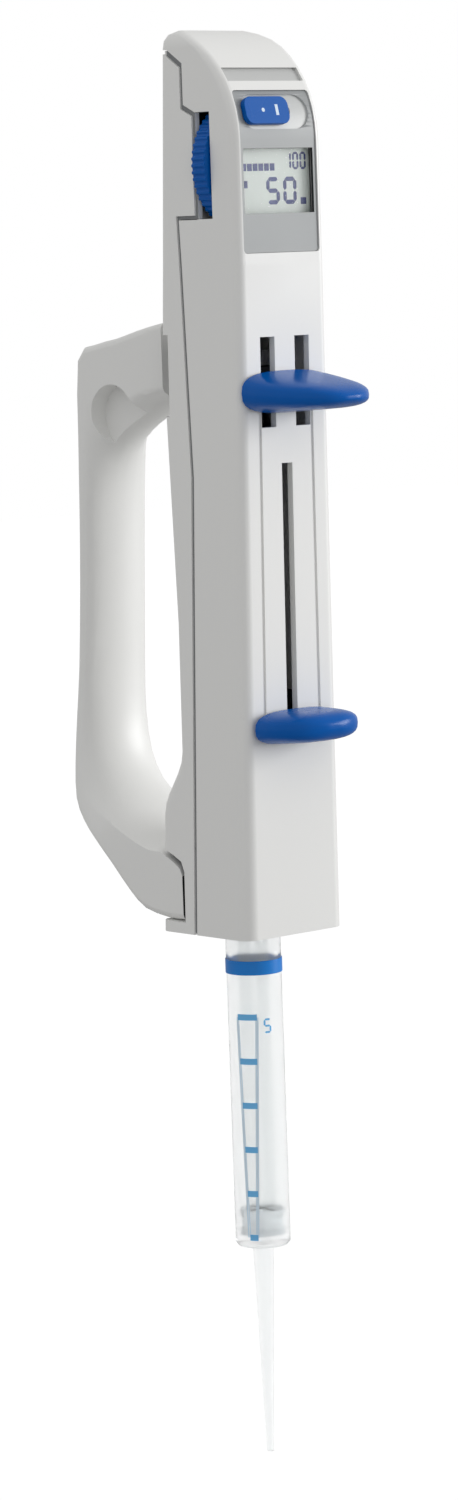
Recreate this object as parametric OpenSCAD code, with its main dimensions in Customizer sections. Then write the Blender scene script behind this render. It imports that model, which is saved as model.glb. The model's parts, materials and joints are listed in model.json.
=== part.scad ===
// Hand-held repeating pipette with a fitted 5 ml dispenser tip.
// Millimetres. Z runs up the piston axis, the origin is the nozzle's orifice,
// the front with the levers and the display faces -Y.

/* [Housing] */
// Height of the housing's foot above the nozzle's orifice
foot_z = 130; // [126:1:134]
// Height of the tapered body, from the foot to the shoulder where the straight head begins
body_h = 160; // [156:1:164]
// Height of the head above the shoulder
head_h = 55.5; // [54:0.5:60]
// Height above the shoulder at which the display face begins to roll over into the crown
brow_rise = 29; // [28:0.5:30]
// Half width of the head
head_half_w = 14.0; // [13.8:0.1:15]
// Half width of the foot
foot_half_w = 15.9; // [15:0.1:17]
// Distance from the piston axis to the front of the head
head_front = 18.7; // [18.3:0.1:19.5]
// Distance from the piston axis to the front of the foot
foot_front = 16.0; // [15.4:0.1:17]
// Distance from the piston axis to the back at its widest, behind the upper arm of the handle
head_back = 10.6; // [10.2:0.1:12]
// Distance from the piston axis to the back at the crown
crown_back = 6.6; // [6.4:0.1:8]
// Distance from the piston axis to the back of the waist
waist_back = 7.8; // [7.6:0.1:8.6]
// Distance from the piston axis to the back of the foot
foot_back = 16.0; // [15:0.1:18]
// Radius of the rear edge of the crown
nape_r = 2.2; // [2:0.1:2.4]
// Radius of the side edges of the crown
temple_r = 4; // [3:0.5:5]
// Radius of the upright corners of the foot
foot_corner_r = 3.4; // [2.8:0.1:4]
// Radius of the upright corners of the head
head_corner_r = 2.2; // [1.9:0.1:2.6]
// Wall thickness of both shells
wall = 1.8; // [1.5:0.1:2]
// Gap along the seam between the shells
seam_gap = 0.2; // [0.1:0.05:0.3]
// Width of the shadow groove that runs beside the seam
seam_groove_w = 0.8; // [0.5:0.1:1]
// Depth of the shadow groove
seam_groove_d = 0.5; // [0.3:0.1:0.7]

/* [Dispensing lever] */
// Distance of the dispensing lever's stems below the shoulder, at rest
lever_drop = 30; // [28:0.5:32]
// Half width of the dispensing lever at the housing
lever_half_w = 14.5; // [13:0.1:15]
// Reach of the dispensing lever from its back face
lever_reach = 22.5; // [18:0.5:26]
// Half thickness of the dispensing lever at its back face
lever_half_t = 5.0; // [4:0.1:5.5]
// Distance of each stem from the middle
stem_x = 5.5; // [5.2:0.1:6]
// Width of each stem
stem_w = 3.8; // [3:0.1:4.2]
// Height of each stem
stem_h = 8.6; // [8:0.1:9]
// Stroke of the lever when it is pressed
press_stroke = 3.8; // [2:0.1:4]
// Rise of the lever's upper stop between the dial's first and last setting
stop_rise = 8; // [6:0.5:8]

/* [Filling lever] */
// Height of the filling lever above the foot, at rest
fill_rise = 50.5; // [48:0.5:53]
// Half width of the filling lever
fill_half_w = 13.3; // [12:0.1:14]
// Reach of the filling lever from its back face
fill_reach = 13.6; // [11:0.1:17]
// Half thickness of the filling lever at its back face
fill_half_t = 4.1; // [3.5:0.1:4.5]
// Width of the filling lever's stem
fill_stem_w = 2.6; // [2:0.1:3]

/* [Dispenser tip] */
// Bore of the barrel
tip_bore = 10.85; // [10:0.05:11.2]
// Wall of the barrel
tip_wall = 1.25; // [1:0.05:1.4]
// Nominal volume of the tip in millilitres
tip_volume = 5; // [5:1:5]
// Height of the barrel's lower end, where the nozzle begins
nozzle_l = 52; // [48:1:54]
// Outer radius of the nozzle at the orifice
nozzle_tip_r = 0.85; // [0.7:0.05:1]
// Outer radius of the nozzle under the barrel
nozzle_root_r = 2.55; // [2.2:0.05:3]
// Radius of the orifice
orifice_r = 0.4; // [0.3:0.05:0.5]
// Length of the straight orifice
orifice_l = 6; // [4:1:10]
// Radius of the flange that the clamp holds
flange_r = 8.5; // [8.2:0.1:8.7]
// Thickness of the flange
flange_t = 4; // [3:0.5:4.5]
// Distance of the colour ring's lower edge below the foot
ring_drop = 10.6; // [9:0.2:14]
// Height of the colour ring
ring_h = 3.4; // [2:0.1:5]

/* [Dial] */
// Height of the dial's axle above the shoulder
dial_rise = 23.5; // [22:0.5:25]
// Radius of the dial
dial_r = 15.8; // [15.3:0.1:16.4]
// Thickness of the dial
dial_t = 4.4; // [3.5:0.1:4.8]
// Distance from the piston axis to the dial's rear face
dial_back = 5.2; // [5:0.1:5.5]
// Number of settings, one grip notch for each half setting
settings = 20; // [20:1:20]
// Height of the slot in each side of the housing
dial_slot_h = 25; // [22:0.5:26]

/* [Display] */
// Height of the bezel's lower edge above the shoulder
bezel_rise = 2.7; // [1:0.1:4]
// Height of the bezel
bezel_h = 37.8; // [36:0.1:39]
// Width of the raised rim of the shell on each side of the bezel
rim_w = 2; // [1.4:0.1:2.2]
// Depth of the bezel's face behind that rim
bezel_sink = 0.4; // [0.2:0.1:0.5]
// Thickness of the bezel
bezel_t = 0.8; // [0.7:0.1:0.9]
// Half width of the display window
window_half_w = 11.1; // [10:0.1:11.3]
// Height of the display window's lower edge above the bezel's
window_rise = 9.1; // [7.5:0.1:11]
// Height of the display window
window_h = 15.2; // [13:0.1:16]
// Distance of the middle of the power switch below the bezel's upper edge
switch_drop = 4.8; // [4.6:0.1:5.3]
// Length of the oval dish round the switch
dish_l = 21.6; // [20:0.2:22]
// Width of the oval dish round the switch
dish_w = 8.4; // [8:0.1:8.6]
// Depth of the dish in the bezel
dish_d = 0.45; // [0.3:0.05:0.5]
// Length of the switch knob
knob_l = 13.8; // [12:0.1:14]
// Width of the switch knob
knob_w = 6.6; // [6:0.1:7]

/* [Handle] */
// Half width of the bow
bow_half_w = 9.8; // [9:0.1:11]
// Half width of the lower arm where it meets the foot
lower_arm_half_w = 15.4; // [14:0.1:15.5]
// Length of the narrow neck between the housing and the upper arm
neck_l = 4.6; // [3:0.1:5]
// Distance of the upper arm's screws below the shoulder
upper_arm_drop = 24; // [23:0.5:25]
// Radius of the hanger pockets under the upper arm
hanger_r = 8; // [7:0.5:8.5]
// Depth of each hanger pocket, from the side of the arm
hanger_depth = 5; // [4:0.5:6]

/* [Mechanism] */
// Distance of each guide rod from the middle
rod_x = 8; // [7.8:0.1:8.2]
// Distance of the guide rods behind the piston axis
rod_y = 3; // [2.8:0.1:3.2]
// Radius of the guide rods
rod_r = 1.5; // [1.2:0.1:1.6]
// Radial running clearance of everything that slides or turns on a steel pin
run_clear = 0.05; // [0.03:0.01:0.08]
// Clearance between moving pieces that pass each other
pass_clear = 0.3; // [0.3:0.05:0.4]
// Half width of the toothed rack
rack_half_w = 2.5; // [2:0.1:2.6]
// Depth of the toothed rack, from its teeth to its back
rack_d = 4.5; // [4:0.1:4.6]
// Depth of the rack's teeth
tooth_h = 0.6; // [0.3:0.05:0.8]

/* [Hidden] */

$fn = 64;
eps = 0.01;
far = 60;                       // reach of a cutter that passes right out of the part
touch = 0.1;                    // gap between pieces that are screwed or clipped together

shell_white = "#e9e9e7";
lever_blue = "#1663a8";
bezel_grey = "#a8a9aa";
steel = "#b9bcc0";
dark_plastic = "#3a3c40";
clear_white = "#eef1f3";

// Heights above the orifice that follow from the values above
shoulder_z = foot_z + body_h;
crown_z = shoulder_z + head_h;
lever_z = shoulder_z - lever_drop;
fill_z = foot_z + fill_rise;
ring_z = foot_z - ring_drop;
dial_z = shoulder_z + dial_rise;
bezel_z = shoulder_z + bezel_rise;
window_z = bezel_z + window_rise;
switch_z = bezel_z + bezel_h - switch_drop;
upper_arm_z = shoulder_z - upper_arm_drop;

// ---- Shape of the housing -------------------------------------------------------------------

swell_rise = 28.5;              // the swell of the foot begins to fade this far above the foot
swell_h = 15.5;                 // and ends in the waist over this height
swell_fall = 1.2;               // how much the swell narrows below that
swell_z = foot_z + swell_rise;
waist_z = swell_z + swell_h;
nape_drop = 85;                 // the back begins to widen this far below the shoulder
crest_drop = 19;                // and is widest this far below it
nape_z = shoulder_z - nape_drop;
crest_z = shoulder_z - crest_drop;
crest_blend = 1.2;              // how gently the widest place is rounded
brow_sweep = 79;                // degrees through which the display face rolls over, up to the nape
brow_r = (head_h - brow_rise) / sin(brow_sweep);
brow_z = shoulder_z + brow_rise; // height of the arc's centre
brow_y = brow_r - head_front;   // its distance behind the piston axis
corner_steps = 5;
brow_steps = 10;

function mix(a, b, t) = a + (b - a) * t;
function clamp01(t) = max(0, min(1, t));
function smooth(t) = let (u = clamp01(t)) u * u * (3 - 2 * u);
function drop(r, h) = r - sqrt(max(0, r * r - h * h));  // how far an arc of radius r falls back at height h
function lesser(a, b, k) = min(a, b) - pow(max(k - abs(a - b), 0), 2) / (4 * k);    // blended over k

// Half width, front and back of the housing at height z, for a surface that lies d inside the outside
function half_w_at(z, d) =
    z < shoulder_z ? mix(foot_half_w, head_half_w, (z - foot_z) / (shoulder_z - foot_z)) - d
    : head_half_w - d - drop(temple_r - d, max(0, z - crown_z + temple_r));
function front_at(z, d) =
    z < shoulder_z ? d - mix(foot_front, head_front, (z - foot_z) / (shoulder_z - foot_z))
    : d - head_front + drop(brow_r - d, max(0, z - brow_z));
function swell_at(z) =
    (foot_back - swell_fall * clamp01((z - foot_z) / swell_rise) - waist_back)
    * (1 - smooth((z - swell_z) / swell_h));
function back_at(z, d) =
    lesser(waist_back + swell_at(z) + (head_back - waist_back) * max(0, (z - nape_z) / (crest_z - nape_z)),
        mix(head_back, crown_back, (z - crest_z) / (crown_z - crest_z)) + swell_at(z), crest_blend)
    - d - drop(nape_r - d, max(0, z - crown_z + nape_r));

// Heights of the sections: few where the sides run straight, close where they curve
function levels(d) = concat(
    [foot_z + d, swell_z],
    [for (i = [1 : 6]) mix(swell_z, waist_z, i / 6)],
    [nape_z],
    [for (i = [-2 : 2]) crest_z + i * 4.5],
    [shoulder_z, brow_z],
    [for (i = [1 : brow_steps]) brow_z + (brow_r - d) * sin(brow_sweep * i / brow_steps)]);

function corner_at(z) = mix(foot_corner_r, head_corner_r, clamp01((z - foot_z) / (shoulder_z - foot_z)));

// One section: a rounded rectangle, anticlockwise seen from above
function ring_at(z, d) =
    let (w = half_w_at(z, d), f = front_at(z, d), b = back_at(z, d),
        r = min(max(corner_at(z) - d, 0.5), (b - f) * 0.45, w * 0.9),
        cs = [[w - r, f + r], [w - r, b - r], [r - w, b - r], [r - w, f + r]])
    [for (k = [0 : 3]) for (i = [0 : corner_steps])
        let (a = 90 * k - 90 + 90 * i / corner_steps)
        [cs[k][0] + r * cos(a), cs[k][1] + r * sin(a), z]];

// Skin over a list of rings with the same number of points
module loft(rings) {
    n = len(rings[0]);
    m = len(rings);
    polyhedron(
        points = [for (ring = rings) for (p = ring) p],
        faces = concat(
            [[for (j = [0 : n - 1]) j]],
            [[for (j = [n - 1 : -1 : 0]) (m - 1) * n + j]],
            [for (i = [0 : m - 2]) for (j = [0 : n - 1])
                [i * n + j, (i + 1) * n + j, (i + 1) * n + (j + 1) % n]],
            [for (i = [0 : m - 2]) for (j = [0 : n - 1])
                [i * n + j, (i + 1) * n + (j + 1) % n, i * n + (j + 1) % n]]));
}

module housing_form(d) {
    loft([for (z = levels(d)) ring_at(z, d)]);
}

// Turns a flat outline drawn as [y, z] into a block that is centred on x = 0
module across(w) {
    rotate([90, 0, 90]) translate([0, 0, -w / 2]) linear_extrude(w) children();
}

// Turns a flat outline drawn as [x, z] into a block from y = y0 to y = y1
module through(y0, y1) {
    translate([0, y1, 0]) rotate([90, 0, 0]) linear_extrude(y1 - y0) children();
}

module block(x0, x1, y0, y1, z0, z1) {
    translate([x0, y0, z0]) cube([x1 - x0, y1 - y0, z1 - z0]);
}

// The same child on the right and on the left
module both_sides() {
    children();
    mirror([1, 0, 0]) children();
}

module pin_y(x, z, r, y0, y1) {
    translate([x, y1, z]) rotate([90, 0, 0]) cylinder(r = r, h = y1 - y0);
}

module pin_x(y, z, r, x0, x1) {
    translate([x0, y, z]) rotate([0, 90, 0]) cylinder(r = r, h = x1 - x0);
}

module pin_z(x, y, r, z0, z1) {
    translate([x, y, z0]) cylinder(r = r, h = z1 - z0);
}

// An oval outline with round ends, l long and w wide
module oval(l, w) {
    for (s = [-1, 1]) translate([s * (l - w) / 2, 0]) circle(d = w);
    square([l - w, w], center = true);
}

// ---- Seam between the shells -----------------------------------------------------------------

dial_front = dial_back + dial_t;
slot_clear = 0.5;               // room in front of and behind the dial in its slots
slot_y0 = -dial_front - slot_clear;
slot_y1 = -dial_back + slot_clear;
slot_z0 = dial_z - dial_slot_h / 2;
slot_z1 = dial_z + dial_slot_h / 2;
seam_foot_y = 2.4;
seam_waist_y = -0.8;
seam_waist_rise = 110;          // height above the foot at which the seam runs furthest forward
seam_waist_z = foot_z + seam_waist_rise;
seam_neck_y = 2.0;
seam_ear_y = -0.9;
seam_ear_drop = 8;              // above the dial the seam turns to the back this far below the crown
seam_nape = [4.3, 4.6];         // and passes out through the nape here: behind the axis, below the crown

// The seam seen from the side, from under the foot to behind the nape. The third number tells to
// which side the rear shell keeps its half of the gap.
function seam() = [[seam_foot_y, foot_z - far, 0], [seam_foot_y, foot_z, 0], [seam_waist_y, seam_waist_z, 0],
    [seam_neck_y, slot_z0, 1], [slot_y1, slot_z0, 1], [slot_y1, slot_z1, -1],
    [seam_ear_y, slot_z1 + 1.8, -1], [seam_ear_y, crown_z - seam_ear_drop, -1],
    [seam_nape[0], crown_z - seam_nape[1], -1], [far, crown_z - seam_nape[1] + 1.5, -1]];

// The seam's line moved by g towards the rear shell
function seam_line(g) = [for (p = seam()) [p[0] + g, p[1] + p[2] * g]];

module front_region() {
    across(far * 2) polygon(concat(seam_line(-seam_gap / 2),
        [[far, crown_z + far], [-far, crown_z + far], [-far, foot_z - far]]));
}

module rear_region() {
    across(far * 2) polygon(concat(seam_line(seam_gap / 2), [[far, foot_z - far]]));
}

// The shadow groove that the rear shell leaves along the seam
module seam_groove() {
    difference() {
        across(far * 2) polygon(concat(seam_line(0),
            [for (i = [len(seam()) - 1 : -1 : 0]) seam_line(seam_gap / 2 + seam_groove_w)[i]]));
        housing_form(seam_groove_d);
    }
}

// Everything that lies deeper than d behind the display face and its brow arc, as a block across the head
module head_core(d) {
    across(far * 2) {
        translate([brow_y, brow_z]) circle(r = brow_r - d);
        translate([d - head_front, 0]) square([far, brow_z]);
        translate([brow_y, 0]) square([far, crown_z - d]);
    }
}

module hollow_housing() {
    difference() {
        housing_form(0);
        housing_form(wall);
    }
}

// ---- Places of the mechanism -----------------------------------------------------------------

ml_pitch = 1000 / (PI * pow(tip_bore / 2, 2));  // barrel length that holds one millilitre
full_stroke = tip_volume * ml_pitch;
rack_pitch = ml_pitch / settings;               // one unit of the dial
zero_z = nozzle_l + 2.8;                        // the seal's face at rest, the foot of the scale
barrel_r = tip_bore / 2 + tip_wall;
flange_z = foot_z + 3;
socket_z0 = foot_z + wall + 0.4;
socket_h = 18.3;
socket_z1 = socket_z0 + socket_h;
lower_bridge_z0 = socket_z1 + 0.5;
bridge_t = 5;
lower_bridge_z1 = lower_bridge_z0 + bridge_t;
carriage_half_h = 7;
carriage_z0 = fill_z - carriage_half_h;
carriage_z1 = fill_z + carriage_half_h;
yoke_z0 = lever_z - 1.4;
yoke_z1 = lever_z + 5.6;
cage_low_z1 = yoke_z0 - 7.6;
cage_bar_t = 2.2;
cage_low_z0 = cage_low_z1 - cage_bar_t;
cage_top_z0 = yoke_z1 + 0.3;
cage_top_z1 = cage_top_z0 + 3.5;
upper_bridge_z0 = cage_top_z1 + stop_rise + 3.5;
upper_bridge_z1 = upper_bridge_z0 + bridge_t;
rod_z0 = lower_bridge_z0 + 1;
rod_z1 = upper_bridge_z1 - 1;
rack_y0 = -1;                   // the points of the rack's teeth
rack_y1 = rack_y0 + rack_d;
rack_z1 = lever_z - 2;
window_x = rack_half_w + 0.5;   // half width of every opening that the rack passes
carriage_y0 = -5;
yoke_y0 = -8.4;
cage_x = head_half_w - wall - 0.4;
sheet_t = 0.9;                  // sheet steel of the cage's cheeks
block_back = rod_y + rod_r + 1.1;
// Back faces of the levers, clear of the front over all their travel
lever_back = pass_clear - front_at(lever_z + lever_half_t + stop_rise, 0);
fill_back = pass_clear - front_at(fill_z + fill_half_t + full_stroke, 0);
slot_top = lever_z + stem_h / 2 + stop_rise + 0.7;
slot_bottom = lever_z - stem_h / 2 - press_stroke - 0.2;
stem_gap = 0.4;                 // room on each side of a stem in its slot
fill_stem_h = 7;
fill_slot_top = fill_z + fill_stem_h / 2 + full_stroke + 5;
fill_slot_bottom = fill_z - fill_stem_h / 2 - 0.6;
track_half_w = stem_x + stem_w / 2 + stem_gap;

// ---- Shells ----------------------------------------------------------------------------------

module lever_slots() {
    both_sides() block(stem_x - stem_w / 2 - stem_gap, stem_x + stem_w / 2 + stem_gap, -far, carriage_y0,
        slot_bottom, slot_top);
    block(-fill_stem_w / 2 - stem_gap, fill_stem_w / 2 + stem_gap, -far, carriage_y0, fill_slot_bottom,
        fill_slot_top);
}

// Two fine grooves that run down the front from the outer edges of the lever slots
module track_grooves() {
    groove_w = 0.9;
    groove_d = 0.4;
    spread = 0.6;
    z0 = fill_z - 0.5;          // they end at the middle of the filling lever
    both_sides() intersection() {
        across(far) polygon([[-far, z0], [-far, slot_bottom + 6], [front_at(slot_bottom + 6, groove_d),
            slot_bottom + 6], [front_at(z0, groove_d), z0]]);
        through(-far, 0) polygon([[track_half_w + spread, z0], [track_half_w + spread + groove_w, z0],
            [track_half_w + groove_w, slot_bottom + 6], [track_half_w, slot_bottom + 6]]);
    }
}

brow_bar_h = 2.3;               // bar of the shell between the bezel and the band above it
band_h = 3.2;
band_d = 0.7;

// A shallow band across the brow, above the bezel
module brow_band() {
    z0 = bezel_z + bezel_h + brow_bar_h;
    difference() {
        block(-bezel_half_w, bezel_half_w, -far, 0, z0, z0 + band_h);
        head_core(band_d);
    }
}

bezel_half_w = head_half_w - rim_w;

// Outline of the bezel, grown by a clearance on every side
module bezel_outline(grow) {
    r = 0.8;
    x = bezel_half_w - r;
    z0 = bezel_z + r;
    z1 = bezel_z + bezel_h - r;
    for (cx = [-x, x]) for (cz = [z0, z1]) translate([cx, cz]) circle(r = r + grow);
    translate([-x - r - grow, z0]) square([2 * (x + r + grow), z1 - z0]);
    translate([-x, z0 - r - grow]) square([2 * x, z1 - z0 + 2 * (r + grow)]);
}

module stem_slot() {
    through(-far, 0) translate([knob_x + knob_travel / 2, switch_z]) oval(knob_travel + stem_l, stem_slot_w);
}

module bezel_seat() {
    difference() {
        through(-far, 0) bezel_outline(touch);
        head_core(bezel_sink + bezel_t + touch);
    }
}

// Turns its child, drawn on the straight front, about the brow's axis to height z
module on_brow(z) {
    tilt = asin((z - brow_z) / brow_r);
    translate([0, brow_y, brow_z]) rotate([-tilt, 0, 0]) translate([0, -brow_y, -brow_z]) children();
}

// A rectangle with rounded corners, l long and w wide
module soft_rectangle(l, w, r) {
    for (x = [r - l / 2, l / 2 - r]) for (y = [r - w / 2, w / 2 - r]) translate([x, y]) circle(r = r);
    square([l - 2 * r, w], center = true);
    square([l, w - 2 * r], center = true);
}

stem_l = 4.2;                   // room along and across the knob's stem in its slot
stem_slot_w = 3.2;
knob_travel = dish_l - knob_l - 1.2;
knob_x = -(dish_l - knob_l) / 2 + 0.6;

screw_r = 1.1;
screw_head_r = 1.9;
screw_head_t = 1.4;
housing_screw_end = 9;          // how far in front of the piston axis the housing screws end
handle_screw_l = 9;             // length under the head
handle_screw_depth = 20;        // how far behind the piston axis their holes end
head_depth = 2.4;               // depth of the counterbores for the screw heads
boss_r = 2.4;
upper_screw = [9.2, upper_bridge_z1 + 4.4];
lower_screw = [12.1, lower_bridge_z1 + 7.5];
screws = [upper_screw, lower_screw];

function seam_y(z) = z < seam_waist_z ? mix(seam_foot_y, seam_waist_y, (z - foot_z) / (seam_waist_z - foot_z))
    : mix(seam_waist_y, seam_neck_y, (z - seam_waist_z) / (slot_z0 - seam_waist_z));

// Bosses that meet at the seam: side -1 grows from the front wall, side 1 from the back wall
module screw_bosses(side) {
    both_sides() for (p = screws)
        if (side < 0) pin_y(p[0], p[1], boss_r, front_at(p[1], wall / 2), seam_y(p[1]) - seam_gap);
        else pin_y(p[0], p[1], boss_r, seam_y(p[1]) + seam_gap, back_at(p[1], wall / 2));
}

module screw_holes(r, y0) {
    both_sides() for (p = screws) pin_y(p[0], p[1], r, y0, far);
}

mouth_r = flange_r + 0.4;       // opening in the foot that the tip's flange passes
jaw_half_w = 2.6;
jaw_pivot_x = 11.2;
jaw_pivot_z = foot_z + 16;

module foot_mouth() {
    pin_z(0, 0, mouth_r, foot_z - far, foot_z + wall + 2);
    block(-jaw_pivot_x - 2.2, jaw_pivot_x + 2.2, -jaw_half_w - 0.4, jaw_half_w + 0.4, foot_z - far,
        foot_z + wall + 2);
}

module front_shell() {
    color(shell_white) difference() {
        union() {
            intersection() {
                hollow_housing();
                front_region();
            }
            screw_bosses(-1);
        }
        screw_holes(screw_r - 0.15, 6 - head_front);
        lever_slots();
        track_grooves();
        brow_band();
        bezel_seat();
        through(-far, 0) translate([-window_half_w, window_z]) square([2 * window_half_w, window_h]);
        stem_slot();
        both_sides() block(head_half_w - 4, far, slot_y0, slot_y1 + 1, slot_z0, slot_z1);
        foot_mouth();
    }
}

// The pocket in the back of the foot that takes the lower end of the handle
arm_z0 = foot_z + 3;
arm_z1 = foot_z + 15;
arm_seat_y = 7.6;
arm_gap = 1.2;                  // open joint between the handle and the foot
sole_gap = 0.3;                 // open joint under the handle
pocket_wall = 1.1;
pocket_back_y = arm_seat_y - pocket_wall - arm_gap;     // inner face of the pocket's own wall

// The pocket keeps a round wall about the tip's flange in its middle
flange_wall_r = flange_r + 0.5;
flange_wall_t = 1.4;

block_z1 = arm_z1 + 11;         // top of the thick foot that carries the handle
arm_screw_x = 11.6;
arm_screw_z = foot_z + 9;

module arm_pocket() {
    pad_r = 1.8;                // pads that the handle is drawn against by its lower screws
    end = [7.2, 5.6];           // where the joint runs out at the top, from the handle's front lower corner
    end_r = 0.8;
    difference() {
        across(far) polygon([[arm_seat_y - arm_gap, arm_z0 - sole_gap], [far, arm_z0 - sole_gap],
            [far, arm_z1 + 20], [arm_seat_y + 10, arm_z1 + 7], [arm_seat_y + end[0], arm_z1 + end[1]],
            [arm_seat_y + 2.7, arm_z1 + 3.9], [arm_seat_y - 0.2, arm_z1 + 2.4],
            [arm_seat_y - arm_gap, arm_z1]]);
        pin_z(0, 0, flange_wall_r + flange_wall_t, 0, crown_z);
        both_sides() pin_y(arm_screw_x, arm_screw_z, pad_r, 0, arm_seat_y - touch);
    }
    pin_x(arm_seat_y + end[0] - 0.4, arm_z1 + end[1], end_r, -far, far);
}

cover_half_w = 9.5;
cover_h = 28;
cover_drop = 7.5;               // of the cover's upper edge below the crown
cover_z1 = crown_z - cover_drop;
cover_z0 = cover_z1 - cover_h;

// A recess in each side of the back where the narrow neck of the handle's upper arm begins
neck_half_w = 6.5;
recess_x = neck_half_w + 0.5;
recess_y = block_back + 1.6;    // floor of the recess
recess_skin = 1.2;
recess_z0 = upper_arm_z - 11.5;
recess_z1 = upper_arm_z + 8;

module recess(grow, x1) {
    both_sides() block(recess_x - grow, x1, recess_y - grow, far, recess_z0 - grow, recess_z1 + grow);
}

// Everything in front of the middle of the back wall
module within_back() {
    across(2 * far) polygon(concat([for (z = levels(wall / 2)) [back_at(z, wall / 2), z]],
        [[-far, crown_z], [-far, foot_z]]));
}

module handle_screw_holes(r, y0, y1) {
    for (p = handle_screw_places) pin_y(p[0], p[1], r, y0, y1);
}

upper_arm_screw_x = 3.5;
upper_seat_y = back_at(upper_arm_z, wall) + 0.15;   // flat seats of the upper screw heads
handle_screw_places = [[-upper_arm_screw_x, upper_arm_z], [upper_arm_screw_x, upper_arm_z],
    [-arm_screw_x, arm_screw_z], [arm_screw_x, arm_screw_z]];

module rear_shell() {
    color(shell_white) difference() {
        union() {
            intersection() {
                hollow_housing();
                rear_region();
            }
            intersection() {
                screw_bosses(1);
                within_back();
            }
            block(-foot_half_w + 1.3, foot_half_w - 1.3, pocket_back_y, foot_back - 2.5, foot_z + wall / 2,
                block_z1);
            intersection() {
                recess(recess_skin, head_half_w - wall / 2);
                within_back();
            }
        }
        seam_groove();
        recess(0, far);
        arm_pocket();
        pin_z(0, 0, flange_wall_r, foot_z + wall, block_z1 + 1);
        screw_holes(screw_r + 0.15, -far);
        both_sides() for (p = screws)
            pin_y(p[0], p[1], screw_head_r + 0.15, back_at(p[1], head_depth), far);
        handle_screw_holes(screw_r + 0.15, 0, far);
        both_sides() pin_y(upper_arm_screw_x, upper_arm_z, screw_head_r + 0.3, 0, upper_seat_y);
        through(0, far) translate([0, (cover_z0 + cover_z1) / 2])
            square([2 * cover_half_w, cover_z1 - cover_z0], center = true);
        foot_mouth();
    }
}

module battery_cover() {
    rib_pitch = 2.4;
    rib_d = 0.4;
    rib_x = 4;
    rib_z0 = cover_z0 + 3;
    color(shell_white) difference() {
        intersection() {
            housing_form(0);
            block(touch - cover_half_w, cover_half_w - touch, 0, far, cover_z0 + touch, cover_z1 - touch);
        }
        housing_form(wall);
        for (z = [rib_z0 : rib_pitch : rib_z0 + 4 * rib_pitch])
            block(-rib_x, rib_x, back_at(z, rib_d), far, z, z + rib_pitch / 2);
    }
}

// ---- Display and electronics ------------------------------------------------------------------

module display_bezel() {
    color(bezel_grey) difference() {
        intersection() {
            through(-far, 0) bezel_outline(0);
            head_core(bezel_sink);
        }
        head_core(bezel_sink + bezel_t);
        through(-far, 0) translate([-window_half_w, window_z]) square([2 * window_half_w, window_h]);
        difference() {
            on_brow(switch_z) through(-far, 0) translate([0, brow_z]) oval(dish_l, dish_w);
            head_core(bezel_sink + dish_d);
        }
        stem_slot();
    }
}

window_y = -head_front + wall + touch;
glass_t = 0.8;
lcd_t = 2;
lcd_y = window_y + glass_t + touch;
board_y = lcd_y + lcd_t + touch;
board_t = 1.2;
board_half_w = head_half_w - wall - 0.5;

module display_window() {
    lap = 0.6;
    color(clear_white, 0.4) block(-window_half_w - lap, window_half_w + lap, window_y, window_y + glass_t,
        window_z - lap, window_z + window_h + lap);
}

module lcd_module() {
    lap = 1;
    color("#c9d2cc") block(-board_half_w, board_half_w, lcd_y, lcd_y + lcd_t, window_z - 2 * lap,
        window_z + window_h + 2 * lap);
}

module circuit_board() {
    color("#2f6b45") difference() {
        block(-board_half_w, board_half_w, board_y, board_y + board_t, upper_screw[1] + boss_r + 1,
            switch_z + 4);
        pin_y(0, dial_z, rod_r + run_clear, -far, 0);
    }
}

switch_half_h = 2.8;
switch_y = front_at(switch_z + switch_half_h, wall + touch);

module power_switch() {
    color(dark_plastic) difference() {
        block(1 - board_half_w, board_half_w - 1, switch_y, board_y, switch_z - switch_half_h,
            switch_z + switch_half_h);
        block(knob_x - 2, knob_x + knob_travel + 2, -far, board_y - 0.4, switch_z - 1.2, switch_z + 1.2);
    }
}

module power_knob() {
    knob_t = 1.4;
    corner_r = 2.2;
    seat_y = bezel_sink + dish_d - pass_clear - head_front;
    color(lever_blue) {
        on_brow(switch_z) through(seat_y - knob_t, seat_y) translate([knob_x, brow_z])
            soft_rectangle(knob_l, knob_w, corner_r);
        block(knob_x - 1.6, knob_x + 1.6, front_at(switch_z, 0), board_y - 0.7, switch_z - 0.8,
            switch_z + 0.8);
    }
}

cell_r = 10;
cell_t = 3.2;
cell_z = (cover_z0 + cover_z1) / 2;
cup_r = 10.9;
cup_y1 = back_at(cell_z + cup_r, wall) - touch;     // rim of the cup that holds the cell

module battery_tray() {
    color(dark_plastic) difference() {
        intersection() {
            pin_y(0, cell_z, cup_r, cup_y1 - cell_t - 1.6, cup_y1);
            block(-head_half_w + wall + 0.3, head_half_w - wall - 0.3, -far, far, 0, crown_z);
        }
        pin_y(0, cell_z, cell_r + touch, cup_y1 - cell_t - 0.6, far);
        block(-2.5, 2.5, -far, far, cell_z - 7, cell_z - 3);
    }
}

module coin_cell() {
    y1 = cup_y1 - 0.4;
    color(steel) {
        pin_y(0, cell_z, cell_r, y1 - cell_t * 0.7, y1);
        pin_y(0, cell_z, cell_r - 1, y1 - cell_t, y1 - cell_t * 0.7 + eps);
    }
}

// ---- Dial ------------------------------------------------------------------------------------

follower_r = 1;                 // pin of the stop cage that runs in the dial's scroll
scroll_r0 = 12;                 // radius of the scroll at the first setting
scroll_d = 1.5;
dial_turn = 342;                // degrees from the first to the last setting
scroll_step = 9;

function scroll_point(a, side) =
    let (r = scroll_r0 - stop_rise * a / dial_turn + side * (follower_r + pass_clear))
    [r * sin(a), -r * cos(a)];

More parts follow.
